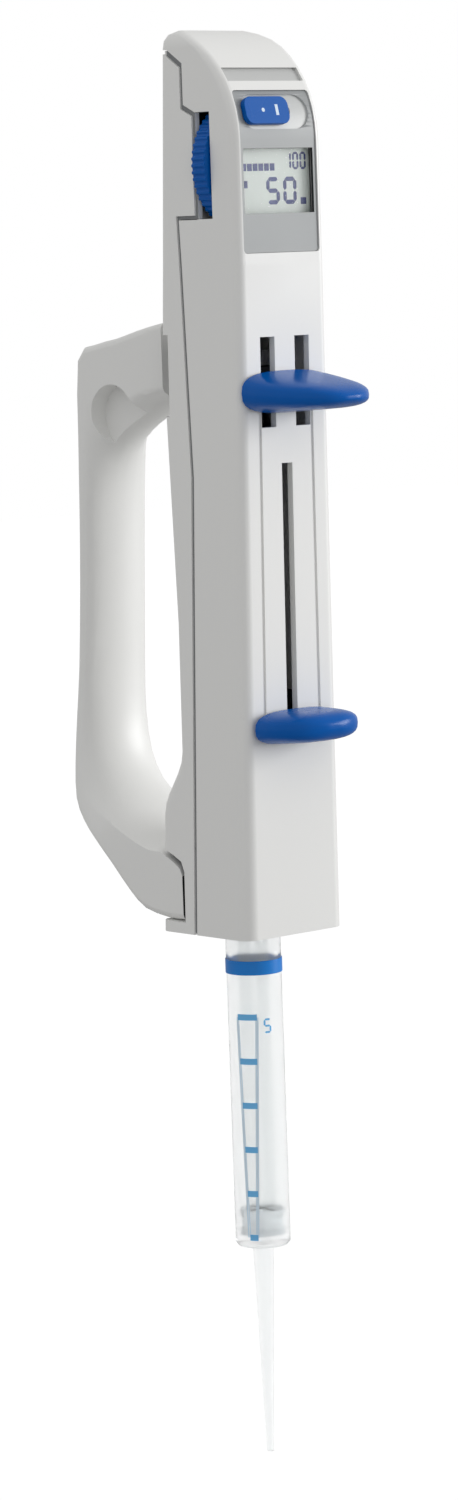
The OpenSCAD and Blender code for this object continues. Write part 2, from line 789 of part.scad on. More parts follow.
// Spiral groove that lifts the follower pin in proportion to the turn
module scroll_outline() {
    polygon(concat(
        [for (a = [0 : scroll_step : dial_turn]) scroll_point(a, 1)],
        [for (a = [dial_turn : -scroll_step : 0]) scroll_point(a, -1)]));
    translate(scroll_point(0, 0)) circle(r = follower_r + pass_clear);
    translate(scroll_point(dial_turn, 0)) circle(r = follower_r + pass_clear);
}

module dial_wheel() {
    notch_r = 0.6;
    notches = 3 * settings;
    color(lever_blue) difference() {
        pin_y(0, dial_z, dial_r, -dial_front, -dial_back);
        for (i = [0 : notches - 1])
            translate([0, 0, dial_z]) rotate([0, 360 * (i + 0.5) / notches, 0])
                pin_y(dial_r + notch_r * 0.4, 0, notch_r, -far, 0);
        pin_y(0, dial_z, rod_r + run_clear, -far, 0);
        translate([0, 0, dial_z]) through(-dial_back - scroll_d, 0) scroll_outline();
    }
}

axle_y0 = board_y + 0.1;
bracket_y1 = -2.2;
bracket_y0 = -dial_back + pass_clear + 0.2;

module dial_axle() {
    collar_t = 0.8;
    color(steel) {
        pin_y(0, dial_z, rod_r, axle_y0, bracket_y1);
        pin_y(0, dial_z, rod_r + 1.3, -dial_front - pass_clear - collar_t, -dial_front - pass_clear);
    }
}

module dial_bracket() {
    leg_x0 = 3.6;
    leg_x1 = 6.4;
    head_z0 = dial_z - rod_r - 0.1;
    color(dark_plastic) difference() {
        union() {
            both_sides() block(leg_x0, leg_x1, bracket_y0, bracket_y1, upper_bridge_z1, head_z0 + eps);
            block(-leg_x1, leg_x1, bracket_y0, bracket_y1, head_z0, dial_z + 6);
        }
        pin_y(0, dial_z, rod_r, -far, 0);
    }
}

module detent_spring() {
    leaf_t = 0.3;
    leaf_half_w = 2;
    top_z = dial_z + 13;
    color(steel) {
        block(-leaf_half_w, leaf_half_w, bracket_y0 - leaf_t, bracket_y0, dial_z + 3, top_z);
    }
}

// ---- Guide frame -----------------------------------------------------------------------------

module rod_holes(r) {
    both_sides() pin_z(rod_x, rod_y, r, 0, crown_z);
}

module guide_rods() {
    color(steel) both_sides() pin_z(rod_x, rod_y, rod_r, rod_z0, rod_z1);
}

module upper_bridge() {
    side_gap = 0.2;
    upper_half_w = half_w_at(upper_bridge_z1, wall + side_gap);
    link_x = 3.4;
    color(dark_plastic) difference() {
        block(-upper_half_w, upper_half_w, bracket_y0, back_at(upper_bridge_z1, wall + side_gap),
            upper_bridge_z0, upper_bridge_z1);
        block(-link_x, link_x, -far, rack_y1 + 0.5, 0, crown_z);
        both_sides() pin_z(rod_x, rod_y, rod_r, 0, rod_z1);
    }
}

lower_front_y = -12;

module lower_bridge() {
    side_gap = 0.2;
    lower_half_w = half_w_at(lower_bridge_z1, wall + side_gap);
    color(dark_plastic) difference() {
        block(-lower_half_w, lower_half_w, lower_front_y, pocket_back_y - side_gap, lower_bridge_z0,
            lower_bridge_z1);
        pin_z(0, 0, clamp_r + pass_clear, 0, crown_z);
        both_sides() pin_z(rod_x, rod_y, rod_r, rod_z0, crown_z);
    }
}

// ---- Dispensing side -------------------------------------------------------------------------

link_half_w = 3;
link_t = 1.4;
link_y0 = -dial_back + pass_clear;
cage_y1 = block_back;

module cage_bar(z0, z1, y0) {
    difference() {
        block(-cage_x, cage_x, y0, cage_y1, z0, z1);
        block(-window_x, window_x, rack_y0 - 0.5, far, 0, crown_z);
    }
}

module stop_cage() {
    pin_z_rest = dial_z - scroll_r0;
    color(steel) difference() {
        union() {
            cage_bar(cage_low_z0, cage_low_z1, -2.6);
            cage_bar(cage_top_z0, cage_top_z1, link_y0);
            both_sides() block(cage_x - sheet_t, cage_x, -2.6, cage_y1, cage_low_z0, cage_top_z1);
            block(-link_half_w, link_half_w, link_y0, link_y0 + link_t, cage_top_z0,
                pin_z_rest + follower_r + 0.2);
            pin_y(0, pin_z_rest, follower_r, -dial_back - scroll_d + 0.3, link_y0 + eps);
        }
        rod_holes(rod_r + run_clear);
    }
}

pawl_pin_y = -4.2;
pawl_pin_z = lever_z + 3;
pawl_pin_r = 0.8;
pawl_tip_z = lever_z - 4;
yoke_half_w = cage_x - sheet_t - pass_clear;

module lever_yoke() {
    color(dark_plastic) difference() {
        block(-yoke_half_w, yoke_half_w, yoke_y0, block_back, yoke_z0, yoke_z1);
        block(-window_x, window_x, yoke_y0 + 2.6, far, 0, crown_z);
        rod_holes(rod_r + run_clear);
        pin_x(pawl_pin_y, pawl_pin_z, pawl_pin_r, -far, far);
    }
}

module pawl_pin() {
    color(steel) pin_x(pawl_pin_y, pawl_pin_z, pawl_pin_r, -window_x - 2.4, window_x + 2.4);
}

// Swinging pawl: it hangs from its pin and points down at the rack's teeth
module pawl() {
    tip_y = rack_y0 - 0.85;
    half_w = window_x - pass_clear;
    color(steel) difference() {
        union() {
            pin_x(pawl_pin_y, pawl_pin_z, 1.3, -half_w, half_w);
            across(2 * half_w) polygon([[pawl_pin_y - 1.1, pawl_pin_z - 1], [pawl_pin_y + 1.4, pawl_pin_z],
                [tip_y, pawl_tip_z + 0.5], [tip_y - 0.3, pawl_tip_z], [tip_y - 1.6, pawl_tip_z + 0.2]]);
        }
        pin_x(pawl_pin_y, pawl_pin_z, pawl_pin_r + run_clear, -far, far);
    }
}

// A rounded paddle: sections along y that narrow and thin towards the tip
function paddle_ring(y, half_w, z0, z1, n) =
    [for (i = [0 : n - 1])
        let (a = 360 * i / n, c = cos(a), s = sin(a))
        [half_w * sign(c) * pow(abs(c), 0.7), y, (z0 + z1) / 2 + (z1 - z0) / 2 * sign(s) * pow(abs(s), 0.7)]];

module paddle(back_y, reach, half_w, half_t, tip_half_t, z, tip_sink, fullness) {
    steps = 12;
    points = 28;
    loft([for (i = [0 : steps])
        let (t = sin(90 * i / steps) * 0.998, w = half_w * pow(1 - pow(t, fullness), 1 / 2.2),
            h = mix(half_t, tip_half_t, t) * pow(1 - pow(t, 9), 0.5), zc = z - tip_sink * t)
        paddle_ring(-back_y - reach * t, w, zc - h, zc + h, points)]);
}

module dispensing_lever() {
    tip_half_t = 2.3;
    tip_sink = 1.4;
    sunk = 1;
    color(lever_blue) {
        paddle(lever_back, lever_reach, lever_half_w, lever_half_t, tip_half_t, lever_z, tip_sink, 2.3);
        both_sides() block(stem_x - stem_w / 2, stem_x + stem_w / 2, -lever_back - sunk, yoke_y0,
            lever_z - stem_h / 2, lever_z + stem_h / 2);
    }
}

// One helical compression spring, a swept wire
module coil_spring(r, wire_r, length, turns) {
    per_turn = 10;
    sides = 5;
    loft([for (i = [0 : turns * per_turn])
        let (a = -360 * i / per_turn, z = wire_r + (length - 2 * wire_r) * i / (turns * per_turn))
        [for (j = [0 : sides - 1]) let (b = 360 * j / sides)
            [(r + wire_r * cos(b)) * cos(a), (r + wire_r * cos(b)) * sin(a), z + wire_r * sin(b)]]]);
}

spring_z0 = cage_low_z1 + 0.1;

module lever_springs() {
    wire_r = 0.25;
    color(steel) both_sides() translate([rod_x, rod_y, spring_z0])
        coil_spring(rod_r + 0.45, wire_r, yoke_z0 - 0.1 - spring_z0, 5);
}

// ---- Filling side ----------------------------------------------------------------------------

rack_foot_h = 4;

function rack_teeth(z0, n) = [for (i = [0 : n - 1])
    for (p = [[rack_y0 + tooth_h, 0], [rack_y0, rack_pitch * 0.25], [rack_y0, rack_pitch * 0.5]])
        [p[0], z0 + i * rack_pitch + p[1]]];

module toothed_rack() {
    tooth_z0 = rack_z1 - 1 - full_stroke - 4;
    teeth = floor((rack_z1 - 1 - tooth_z0) / rack_pitch);
    color(steel) {
        across(2 * rack_half_w) polygon(concat(
            [[rack_y1, carriage_z1], [rack_y0 + tooth_h, carriage_z1]],
            rack_teeth(tooth_z0, teeth),
            [[rack_y0 + tooth_h, rack_z1], [rack_y1, rack_z1]]));
        block(-rack_half_w - 1.5, rack_half_w + 1.5, rack_y0 + tooth_h, rack_y1, carriage_z1,
            carriage_z1 + rack_foot_h);
    }
}

module fill_carriage() {
    lug_w = 3;
    color(dark_plastic) difference() {
        block(-rod_x - lug_w, rod_x + lug_w, carriage_y0, block_back, carriage_z0, carriage_z1);
        rod_holes(rod_r + run_clear);
    }
}

module filling_lever() {
    tip_half_t = 3.3;
    sunk = 1;
    color(lever_blue) {
        paddle(fill_back, fill_reach, fill_half_w, fill_half_t, tip_half_t, fill_z, -0.4, 3.2);
        block(-fill_stem_w / 2, fill_stem_w / 2, -fill_back - sunk, carriage_y0, fill_z - fill_stem_h / 2,
            fill_z + fill_stem_h / 2);
    }
}

clamp_r = 5.6;
head_r = 4.4;                   // plunger head
neck_r = 2.6;
head_z0 = foot_z + 14;
head_z1 = head_z0 + 5;

// Slotted collet under the carriage that holds the head of the plunger
module piston_clamp() {
    slit_w = 1.2;
    color(steel) difference() {
        pin_z(0, 0, clamp_r, head_z0 - 2.4, carriage_z0);
        pin_z(0, 0, head_r + 0.1, head_z0 - 0.1, head_z1 + 0.1);
        pin_z(0, 0, neck_r + 0.2, head_z0 - 3, head_z0);
        for (a = [0, 90]) rotate([0, 0, a])
            block(-slit_w / 2, slit_w / 2, -far, far, head_z0 - 3, head_z1 + 6);
    }
}

// ---- Tip clamp -------------------------------------------------------------------------------

module tip_socket() {
    side_gap = 0.2;
    socket_half_w = half_w_at(socket_z1, wall + side_gap);
    slot_w = jaw_half_w + pass_clear;
    color(dark_plastic) difference() {
        block(-socket_half_w, socket_half_w, lower_front_y, pocket_back_y - side_gap, socket_z0, socket_z1);
        pin_z(0, 0, flange_r + 0.2, 0, flange_z + flange_t + 0.2);
        pin_z(0, 0, clamp_r + pass_clear, 0, crown_z);
        both_sides() block(clamp_r, far, -slot_w, slot_w, 0, jaw_pivot_z + 2.3);
        both_sides() pin_y(jaw_pivot_x, jaw_pivot_z, jaw_pin_r, -jaw_pin_half_l, jaw_pin_half_l);
        both_sides() pin_y(arm_screw_x, arm_screw_z, screw_head_r + 0.3, pocket_back_y - screw_head_t - 0.2,
            far);
    }
}

jaw_pin_r = 0.8;
jaw_pin_half_l = 4.6;

module jaw_pins() {
    color(steel) both_sides() pin_y(jaw_pivot_x, jaw_pivot_z, jaw_pin_r, -jaw_pin_half_l, jaw_pin_half_l);
}

// One jaw: a leg that hangs from its pin and hooks under the tip's flange
module clamp_jaw() {
    leg_x0 = flange_r + 0.35;
    leg_x1 = leg_x0 + 2;
    hook_x = barrel_r + 0.4;
    hook_z1 = flange_z - 0.15;
    z0 = foot_z + 0.6;
    difference() {
        union() {
            through(-jaw_half_w, jaw_half_w) polygon([[hook_x, z0 + 0.6], [hook_x + 0.6, z0], [leg_x1, z0],
                [leg_x1, jaw_pivot_z], [leg_x0, jaw_pivot_z], [leg_x0, hook_z1], [hook_x, hook_z1]]);
            pin_y(jaw_pivot_x, jaw_pivot_z, 2, -jaw_half_w, jaw_half_w);
        }
        pin_y(jaw_pivot_x, jaw_pivot_z, jaw_pin_r + run_clear, -far, far);
    }
}

module clamp_jaw_right() {
    color(steel) clamp_jaw();
}

module clamp_jaw_left() {
    color(steel) mirror([1, 0, 0]) clamp_jaw();
}

// ---- Dispenser tip ---------------------------------------------------------------------------

module tip_barrel() {
    top_z = flange_z + flange_t;
    shoulder_h = 0.8;
    color(clear_white, 0.7) rotate_extrude() polygon([
        [orifice_r, 0], [nozzle_tip_r, 0], [nozzle_root_r, nozzle_l], [barrel_r - 0.6, nozzle_l],
        [barrel_r, nozzle_l + shoulder_h], [barrel_r, flange_z], [flange_r, flange_z], [flange_r, top_z],
        [tip_bore / 2, top_z], [tip_bore / 2, zero_z - 0.4], [nozzle_root_r - 0.9, nozzle_l],
        [orifice_r, orifice_l]]);
}

module colour_ring() {
    ring_t = 0.25;
    color(lever_blue) difference() {
        pin_z(0, 0, barrel_r + ring_t, ring_z, ring_z + ring_h);
        pin_z(0, 0, barrel_r, 0, crown_z);
    }
}

seal_h = 6;
seal_clear = 0.03;

module tip_seal() {
    lip_h = 1.2;
    color("#dfe6ea") rotate_extrude() polygon([
        [0, zero_z], [tip_bore / 2 - seal_clear, zero_z], [tip_bore / 2 - seal_clear, zero_z + lip_h],
        [tip_bore / 2 - 0.5, zero_z + lip_h + 0.5], [tip_bore / 2 - 0.5, zero_z + seal_h - lip_h - 0.5],
        [tip_bore / 2 - seal_clear, zero_z + seal_h - lip_h], [tip_bore / 2 - seal_clear, zero_z + seal_h],
        [0, zero_z + seal_h]]);
}

module tip_plunger() {
    web_t = 1.2;
    web_r = 4.4;
    rod_top = head_z0 - 3;
    color(clear_white) {
        for (a = [0, 90]) rotate([0, 0, a])
            block(-web_r, web_r, -web_t / 2, web_t / 2, zero_z + seal_h, rod_top);
        pin_z(0, 0, web_r, rod_top - 1, rod_top);
        pin_z(0, 0, neck_r, rod_top - eps, head_z0 + eps);
        pin_z(0, 0, head_r, head_z0, head_z1);
    }
}

// ---- Handle ----------------------------------------------------------------------------------

// Stations along the bow, from the upper joint to the lower: the outer edge and the inner edge behind the
// axis and above the upper arm or the foot, the half width, and the height of the flat side
neck_end_y = back_at(upper_arm_z, 0) + neck_l;
bow_z = upper_arm_z;
arm_w = lower_arm_half_w;
bow_stations = [
    [[neck_end_y, bow_z + 10.8], [neck_end_y, bow_z - 8.3], bow_half_w - 0.2, 13.8],
    [[18.5, bow_z + 10.2], [19, bow_z - 8.7], bow_half_w, 13.4],
    [[25, bow_z + 8.9], [24, bow_z - 10.8], bow_half_w, 13.2],
    [[33, bow_z + 7.0], [30, bow_z - 13.6], bow_half_w, 13.6],
    [[41, bow_z + 5.6], [35.4, bow_z - 17], bow_half_w, 13.6],
    [[46.4, bow_z + 2.5], [39.6, bow_z - 22], bow_half_w, 10],
    [[47.5, bow_z - 16], [41.6, bow_z - 29], bow_half_w, 4],
    [[48.3, bow_z - 34], [42.6, bow_z - 40], bow_half_w, 1.4],
    [[49.4, bow_z - 54], [43.6, bow_z - 57], bow_half_w, 0.9],
    [[50.8, bow_z - 74], [44.4, bow_z - 73], bow_half_w + 0.1, 0.9],
    [[51.9, foot_z + 49], [44.6, foot_z + 50], bow_half_w + 0.6, 1],
    [[51.9, foot_z + 38], [43.2, foot_z + 41], bow_half_w + 1.6, 1.3],
    [[50.4, foot_z + 29.5], [39.8, foot_z + 34.2], bow_half_w + 2.9, 2.2],
    [[46.6, foot_z + 24.2], [35.4, foot_z + 29.8], arm_w - 1.7, 4.4],
    [[41.2, foot_z + 19.8], [30.6, foot_z + 26.4], arm_w - 0.7, 7],
    [[34.6, foot_z + 14.4], [25.6, foot_z + 23.2], arm_w - 0.2, 8.8],
    [[28.2, foot_z + 8.6], [20.8, foot_z + 21.2], arm_w, 11.4],
    [[22.4, foot_z + 4.6], [17, foot_z + 20.3], arm_w, 13.8],
    [[14.4, arm_z0 + 0.1], [14, arm_z1 + 4.2], arm_w, 14.6],
    [[arm_seat_y + 3, arm_z0], [arm_seat_y + 3, arm_z1 + 2.6], arm_w, 13.4],
    [[arm_seat_y + 0.8, arm_z0], [arm_seat_y + 0.8, arm_z1 + 1.1], arm_w, 12.2],
    [[arm_seat_y, arm_z0], [arm_seat_y, arm_z1 - 0.6], arm_w, 11]];
bow_between = 2;                // sections from one station to the next

// A smooth curve through four values, t of the way from b to c
function curve(a, b, c, d, t) =
    b + t * (c - a) / 2 + t * t * (a - 2.5 * b + 2 * c - d / 2) + t * t * t * (1.5 * (b - c) + (d - a) / 2);

function bow_section(i, t) =
    let (n = len(bow_stations) - 1, p = bow_stations[max(i - 1, 0)], q = bow_stations[i],
        r = bow_stations[min(i + 1, n)], s = bow_stations[min(i + 2, n)])
    [for (k = [0 : 3]) curve(p[k], q[k], r[k], s[k], t)];

outer_round = 1.6;

// One section as a closed outline: a flat outer face with round edges, flat sides, and an inner face
// that bulges towards the hand
function bow_ring(s) =
    let (o = s[0], i = s[1], w = s[2], t = norm(o - i), u = (o - i) / t, r = min(outer_round, t / 4),
        sag = max(t - r - s[3], 0.6), bulge_steps = 10)
    [for (p = concat(
            [for (a = [0 : 30 : 90]) [w - r + r * cos(a), t - r + r * sin(a)]],
            [for (a = [90 : 30 : 180]) [r - w + r * cos(a), t - r + r * sin(a)]],
            [for (a = [0 : bulge_steps]) let (b = 180 * a / bulge_steps) [-w * cos(b), sag * (1 - sin(b))]]))
        [p[0], i[0] + u[0] * p[1], i[1] + u[1] * p[1]]];

module handle_form() {
    last = len(bow_stations) - 2;
    loft(concat([bow_ring(bow_section(last, 1))],
        [for (i = [last : -1 : 0]) for (j = [bow_between - 1 : -1 : 0])
            bow_ring(bow_section(i, j / bow_between))]));
}

hanger_y = 34;
hanger_drop = 12;               // of the hanger pockets' axis below the upper arm
hanger_z = upper_arm_z - hanger_drop;

module handle() {
    neck_half_h = 6.5;
    neck_end = neck_end_y + 3;
    color(shell_white) difference() {
        union() {
            handle_form();
            difference() {
                block(-neck_half_w, neck_half_w, 0, neck_end, upper_arm_z - neck_half_h,
                    upper_arm_z + neck_half_h);
                housing_form(-touch);
            }
        }
        both_sides() pin_x(hanger_y, hanger_z, hanger_r, bow_half_w - hanger_depth, far);
        pin_z(0, 0, flange_wall_r + flange_wall_t + arm_gap, 0, crown_z / 2);
        handle_screw_holes(screw_r - 0.15, 0, handle_screw_depth);
    }
}

module handle_screws() {
    color(steel) for (p = handle_screw_places) {
        inside_y = p[1] == upper_arm_z ? upper_seat_y : pocket_back_y;
        pin_y(p[0], p[1], screw_r - 0.15, inside_y - eps, inside_y + handle_screw_l);
        pin_y(p[0], p[1], screw_head_r, inside_y - screw_head_t, inside_y - eps / 2);
    }
}

module housing_screws() {
    color(steel) both_sides() for (p = screws) {
        head_y = back_at(p[1], head_depth);
        pin_y(p[0], p[1], screw_r - 0.15, -housing_screw_end, head_y + eps);
        pin_y(p[0], p[1], screw_head_r, head_y, head_y + screw_head_t);
    }
}

front_shell();
rear_shell();
display_bezel();
display_window();
lcd_module();
circuit_board();
power_knob();
power_switch();
dial_wheel();
dial_axle();
dial_bracket();
detent_spring();
upper_bridge();
lower_bridge();
guide_rods();
stop_cage();
lever_yoke();
dispensing_lever();
lever_springs();
pawl();
pawl_pin();
toothed_rack();
filling_lever();
fill_carriage();
piston_clamp();
tip_socket();
clamp_jaw_left();
clamp_jaw_right();
jaw_pins();
tip_barrel();
colour_ring();
tip_plunger();
tip_seal();
handle();
handle_screws();
housing_screws();
battery_tray();
coin_cell();
battery_cover();
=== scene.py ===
"""Looks of the repeating pipette: finishes, moulded edges, display, printed scale, light and camera."""

import json
import math

import bmesh
import bpy
from mathutils import Matrix, Vector


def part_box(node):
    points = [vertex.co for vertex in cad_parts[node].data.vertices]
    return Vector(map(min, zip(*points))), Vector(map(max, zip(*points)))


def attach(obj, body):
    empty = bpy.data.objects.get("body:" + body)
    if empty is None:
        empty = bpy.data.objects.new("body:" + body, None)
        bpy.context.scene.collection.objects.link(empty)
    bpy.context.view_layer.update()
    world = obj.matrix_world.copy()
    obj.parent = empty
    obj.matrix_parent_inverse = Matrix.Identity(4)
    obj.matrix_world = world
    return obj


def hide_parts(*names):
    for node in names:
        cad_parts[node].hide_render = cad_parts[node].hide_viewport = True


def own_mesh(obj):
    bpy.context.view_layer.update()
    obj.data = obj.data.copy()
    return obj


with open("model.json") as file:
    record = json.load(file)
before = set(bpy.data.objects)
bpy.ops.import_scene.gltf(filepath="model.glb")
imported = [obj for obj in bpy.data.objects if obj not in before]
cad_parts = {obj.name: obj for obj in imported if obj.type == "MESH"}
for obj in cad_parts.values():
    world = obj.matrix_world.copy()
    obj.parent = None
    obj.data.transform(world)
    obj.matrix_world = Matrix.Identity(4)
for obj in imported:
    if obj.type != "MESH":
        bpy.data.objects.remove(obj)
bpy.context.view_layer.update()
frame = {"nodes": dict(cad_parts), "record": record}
nodes = frame["nodes"]

BODY_OF = {node: body for body, members in frame["record"]["behaviour"]["bodies"].items()
           for node in members}

MM = 0.001
UP = Vector((0, 0, 1))

# ---- Colours ---------------------------------------------------------------------------------

SHELL_WHITE = "#ebebe9"
LEVER_BLUE = "#005ab0"
RING_BLUE = "#0080dc"
BEZEL_GREY = "#989b9c"
LCD_GREEN = "#eef6f1"
LCD_SHADE = "#e4ede8"
SEGMENT_INK = "#3d4a86"
SCALE_INK = "#6fbdf2"
SCALE_TINT = "#dceefc"
BAND_GREY = "#c0c1c0"
# Painted shade: black for the walls round the window and the joint of the handle's lower arm
SHADE_BLACK = "#2b2c2e"
# Painted shade: mid grey for the recess beside the handle's upper arm and the seam groove
SHADE_GREY = "#808284"
TRACK_PALE = "#c4c6c5"
MARK_PALE = "#cfe0f0"
MASK_GREEN = "#1d4a33"
NYLON_BLACK = "#26282b"
NYLON_PALE = "#b4b7b9"
STEEL = "#b4b6b8"
SPRING_STEEL = "#9a9da1"
TIP_MILK = "#fcfdfd"
SEAL_MILK = "#eef2f4"
PAPER_WHITE = "#ffffff"
FLOOR_GREY = "#bababa"


def linear(hex_colour):
    """An sRGB hex colour as linear RGBA."""
    levels = [int(hex_colour[i:i + 2], 16) / 255 for i in (1, 3, 5)]
    return tuple(v / 12.92 if v <= 0.04045 else ((v + 0.055) / 1.055) ** 2.4 for v in levels) + (1.0,)


# ---- Node trees --------------------------------------------------------------------------------

def add_node(tree, kind, inputs=(), **settings):
    """Adds a node: settings go on the node, and each input is a value or a socket that feeds it."""
    made = tree.nodes.new(kind)
    for name, value in settings.items():
        setattr(made, name, value)
    for key, value in dict(inputs).items():
        if isinstance(value, bpy.types.NodeSocket):
            tree.links.new(value, made.inputs[key])
        else:
            made.inputs[key].default_value = value
    return made


def maths(tree, operation, *terms):
    """The result of one Math node; each term is a value or a socket."""
    return add_node(tree, "ShaderNodeMath", enumerate(terms), operation=operation).outputs[0]


def seen_directly(tree):
    """1 for rays from the camera, also through clear plastic, and 0 for the rays that light the object."""
    rays = add_node(tree, "ShaderNodeLightPath").outputs
    return maths(tree, "MAXIMUM", rays["Is Camera Ray"], rays["Is Transmission Ray"])


def emptied_tree(owner):
    """The node tree of a material or world, without its default nodes."""
    owner.use_nodes = True
    owner.node_tree.nodes.clear()
    return owner.node_tree


# ---- Finishes --------------------------------------------------------------------------------

ABS_IOR = 1.53
INK_IOR = 1.5
CLOUD_MM = 18                   # size of the cloudy patches in a moulded gloss
CLOUDINESS = 0.03               # how far the roughness strays in them
GRAIN_RELIEF = 0.02 * MM
LINE_STRETCH = 0.03             # scale along a drawn line, as a share of the scale across it
LINE_STRENGTH, LINE_RELIEF = 0.25, 0.01 * MM
LINE_SMOOTHER, LINE_ROUGHER = 0.07, 0.1     # how far the lines take the roughness down and up
LCD_GRAIN_MM = 0.25
TRACK_MM, TRACK_STRENGTH, TRACK_RELIEF = 1.6, 0.3, 0.03 * MM
NOISE_RANGE = (0.3, 0.7)        # most values of a noise lie between these


def finish_with(name, shader_inputs, build=None):
    """A material with one Principled shader; build adds the patterns that feed its sockets."""
    material = bpy.data.materials.new(name)
    tree = emptied_tree(material)
    shader = add_node(tree, "ShaderNodeBsdfPrincipled", shader_inputs)
    add_node(tree, "ShaderNodeOutputMaterial", {"Surface": shader.outputs[0]})
    if build:
        build(tree, shader)
    return material


def per_metre(size_mm):
    """Scale of a texture whose features are size_mm across."""
    return 1 / (size_mm * MM)


def object_place(tree):
    """The socket that gives a point's place on its object."""
    return add_node(tree, "ShaderNodeTexCoord").outputs["Object"]


def noise(tree, place, size_mm, detail):
    """The socket of a noise with features of one size."""
    return add_node(tree, "ShaderNodeTexNoise",
                    {"Vector": place, "Scale": per_metre(size_mm), "Detail": detail}).outputs["Fac"]


def roughen(tree, shader, pattern, smoothest, roughest):
    """Lets a pattern vary the roughness between two values."""
    gloss = add_node(tree, "ShaderNodeMapRange",
                     {"Value": pattern, "From Min": NOISE_RANGE[0], "From Max": NOISE_RANGE[1],
                      "To Min": smoothest, "To Max": roughest})
    tree.links.new(gloss.outputs["Result"], shader.inputs["Roughness"])


def emboss(tree, shader, pattern, strength, depth):
    """Lets a pattern stand out as a fine relief."""
    relief = add_node(tree, "ShaderNodeBump", {"Height": pattern, "Strength": strength, "Distance": depth})
    tree.links.new(relief.outputs["Normal"], shader.inputs["Normal"])


def moulded(name, colour, roughness, grain_mm, grain_strength, shader_inputs=()):
    """Injection-moulded plastic: the eroded grain of the mould and a faint cloudiness of the gloss."""
    def build(tree, shader):
        place = object_place(tree)
        clouds = noise(tree, place, CLOUD_MM, 2.0)
        emboss(tree, shader, noise(tree, place, grain_mm, 3.0), grain_strength, GRAIN_RELIEF)
        roughen(tree, shader, clouds, roughness - CLOUDINESS, roughness + CLOUDINESS)
    return finish_with(name, {"Base Color": linear(colour), "IOR": ABS_IOR, **dict(shader_inputs)}, build)


def drawn_metal(name, colour, roughness, line_mm, axis):
    """Metal with fine lines along one axis, left by grinding or drawing."""
    def build(tree, shader):
        stretch = [1.0, 1.0, 1.0]
        stretch["XYZ".index(axis)] = LINE_STRETCH
        along = add_node(tree, "ShaderNodeMapping", {"Vector": object_place(tree), "Scale": stretch})
        lines = noise(tree, along.outputs["Vector"], line_mm, 4.0)
        roughen(tree, shader, lines, roughness - LINE_SMOOTHER, roughness + LINE_ROUGHER)
        emboss(tree, shader, lines, LINE_STRENGTH, LINE_RELIEF)
    return finish_with(name, {"Base Color": linear(colour), "Metallic": 1.0}, build)


def lcd_face(tree, shader):
    """The reflector behind the cell has a fine grain that scatters light."""
    grain = noise(tree, object_place(tree), LCD_GRAIN_MM, 1.0)
    tint = add_node(tree, "ShaderNodeMix", {0: grain, 6: linear(LCD_GREEN), 7: linear(LCD_SHADE)},
                    data_type="RGBA")
    tree.links.new(tint.outputs[2], shader.inputs["Base Color"])


def solder_mask(tree, shader):
    """Green solder mask with copper tracks that show as faint raised lines."""
    tracks = add_node(tree, "ShaderNodeTexVoronoi",
                      {"Vector": object_place(tree), "Scale": per_metre(TRACK_MM)}, distance="MANHATTAN")
    emboss(tree, shader, tracks.outputs["Distance"], TRACK_STRENGTH, TRACK_RELIEF)


# Light grey ABS from an eroded mould: an even, soft sheen with a grain too fine to see
shell_abs = moulded("moulded_ABS_shell_white", SHELL_WHITE, 0.42, 0.5, 0.12)
# Polished ABS in signal blue: clear highlights on full round forms
blue_abs = moulded("polished_ABS_signal_blue", LEVER_BLUE, 0.26, 0.9, 0.04, {"Specular IOR Level": 0.14})
# Satin ABS of the display frame
bezel_abs = moulded("satin_ABS_bezel_grey", BEZEL_GREY, 0.38, 0.5, 0.1)
# Glass-filled nylon, dull with a slightly rough skin, and natural nylon at the tip's seat
nylon = moulded("moulded_glass_filled_nylon", NYLON_BLACK, 0.55, 0.3, 0.3)
nylon_pale = moulded("moulded_natural_nylon", NYLON_PALE, 0.5, 0.3, 0.2)
# Homopolymer polypropylene of the barrel and plunger: milky, waxy, lets light through
tip_pp = moulded("moulded_polypropylene_milky", TIP_MILK, 0.3, 0.7, 0.04,
                 {"IOR": 1.12, "Transmission Weight": 0.92})
# Polyethylene of the seal: softer and milkier
seal_pe = moulded("moulded_polyethylene_seal", SEAL_MILK, 0.4, 0.5, 0.05,
                  {"IOR": 1.2, "Transmission Weight": 0.6})
# Dyed polypropylene of the colour ring
ring_pp = moulded("moulded_polypropylene_ring_blue", RING_BLUE, 0.33, 0.6, 0.05, {"IOR": 1.49})
# Stainless steel rods and plates, ground along their length
ground_steel = drawn_metal("ground_stainless_steel", STEEL, 0.3, 0.15, "Z")
# Wire and leaf of tempered spring steel
spring_steel = drawn_metal("drawn_spring_steel", SPRING_STEEL, 0.34, 0.12, "Z")
# Cold-headed screws with a bright zinc coat
zinc_steel = drawn_metal("zinc_plated_screw_steel", STEEL, 0.36, 0.2, "Y")
# Cast acrylic window
acrylic = finish_with("polished_acrylic_window",
                      {"Base Color": linear(PAPER_WHITE), "Roughness": 0.04, "IOR": 1.49,
                       "Transmission Weight": 1.0})
# Inks of the pad-printed volume scale: solid rungs, thin rails
scale_ink = moulded("pad_printed_scale_ink", SCALE_INK, 0.45, 0.4, 0.05, {"IOR": INK_IOR})
scale_tint = moulded("pad_printed_thin_ink", SCALE_TINT, 0.45, 0.4, 0.05, {"IOR": INK_IOR})
# Painted shade: matt black on the walls round the window and in the joint of the handle's lower arm, where
# shade falls
painted_shade_black = moulded("painted_shade_black_lacquer", SHADE_BLACK, 0.6, 0.4, 0.1)
# Painted shade: mid grey in the recess beside the handle's upper arm and on the floor of the seam groove,
# where shade falls
painted_shade_grey = moulded("painted_shade_grey_recess", SHADE_GREY, 0.6, 0.4, 0.15)
# Polished pale track that the power switch slides in
track_abs = moulded("polished_ABS_track_pale", TRACK_PALE, 0.3, 0.5, 0.05)
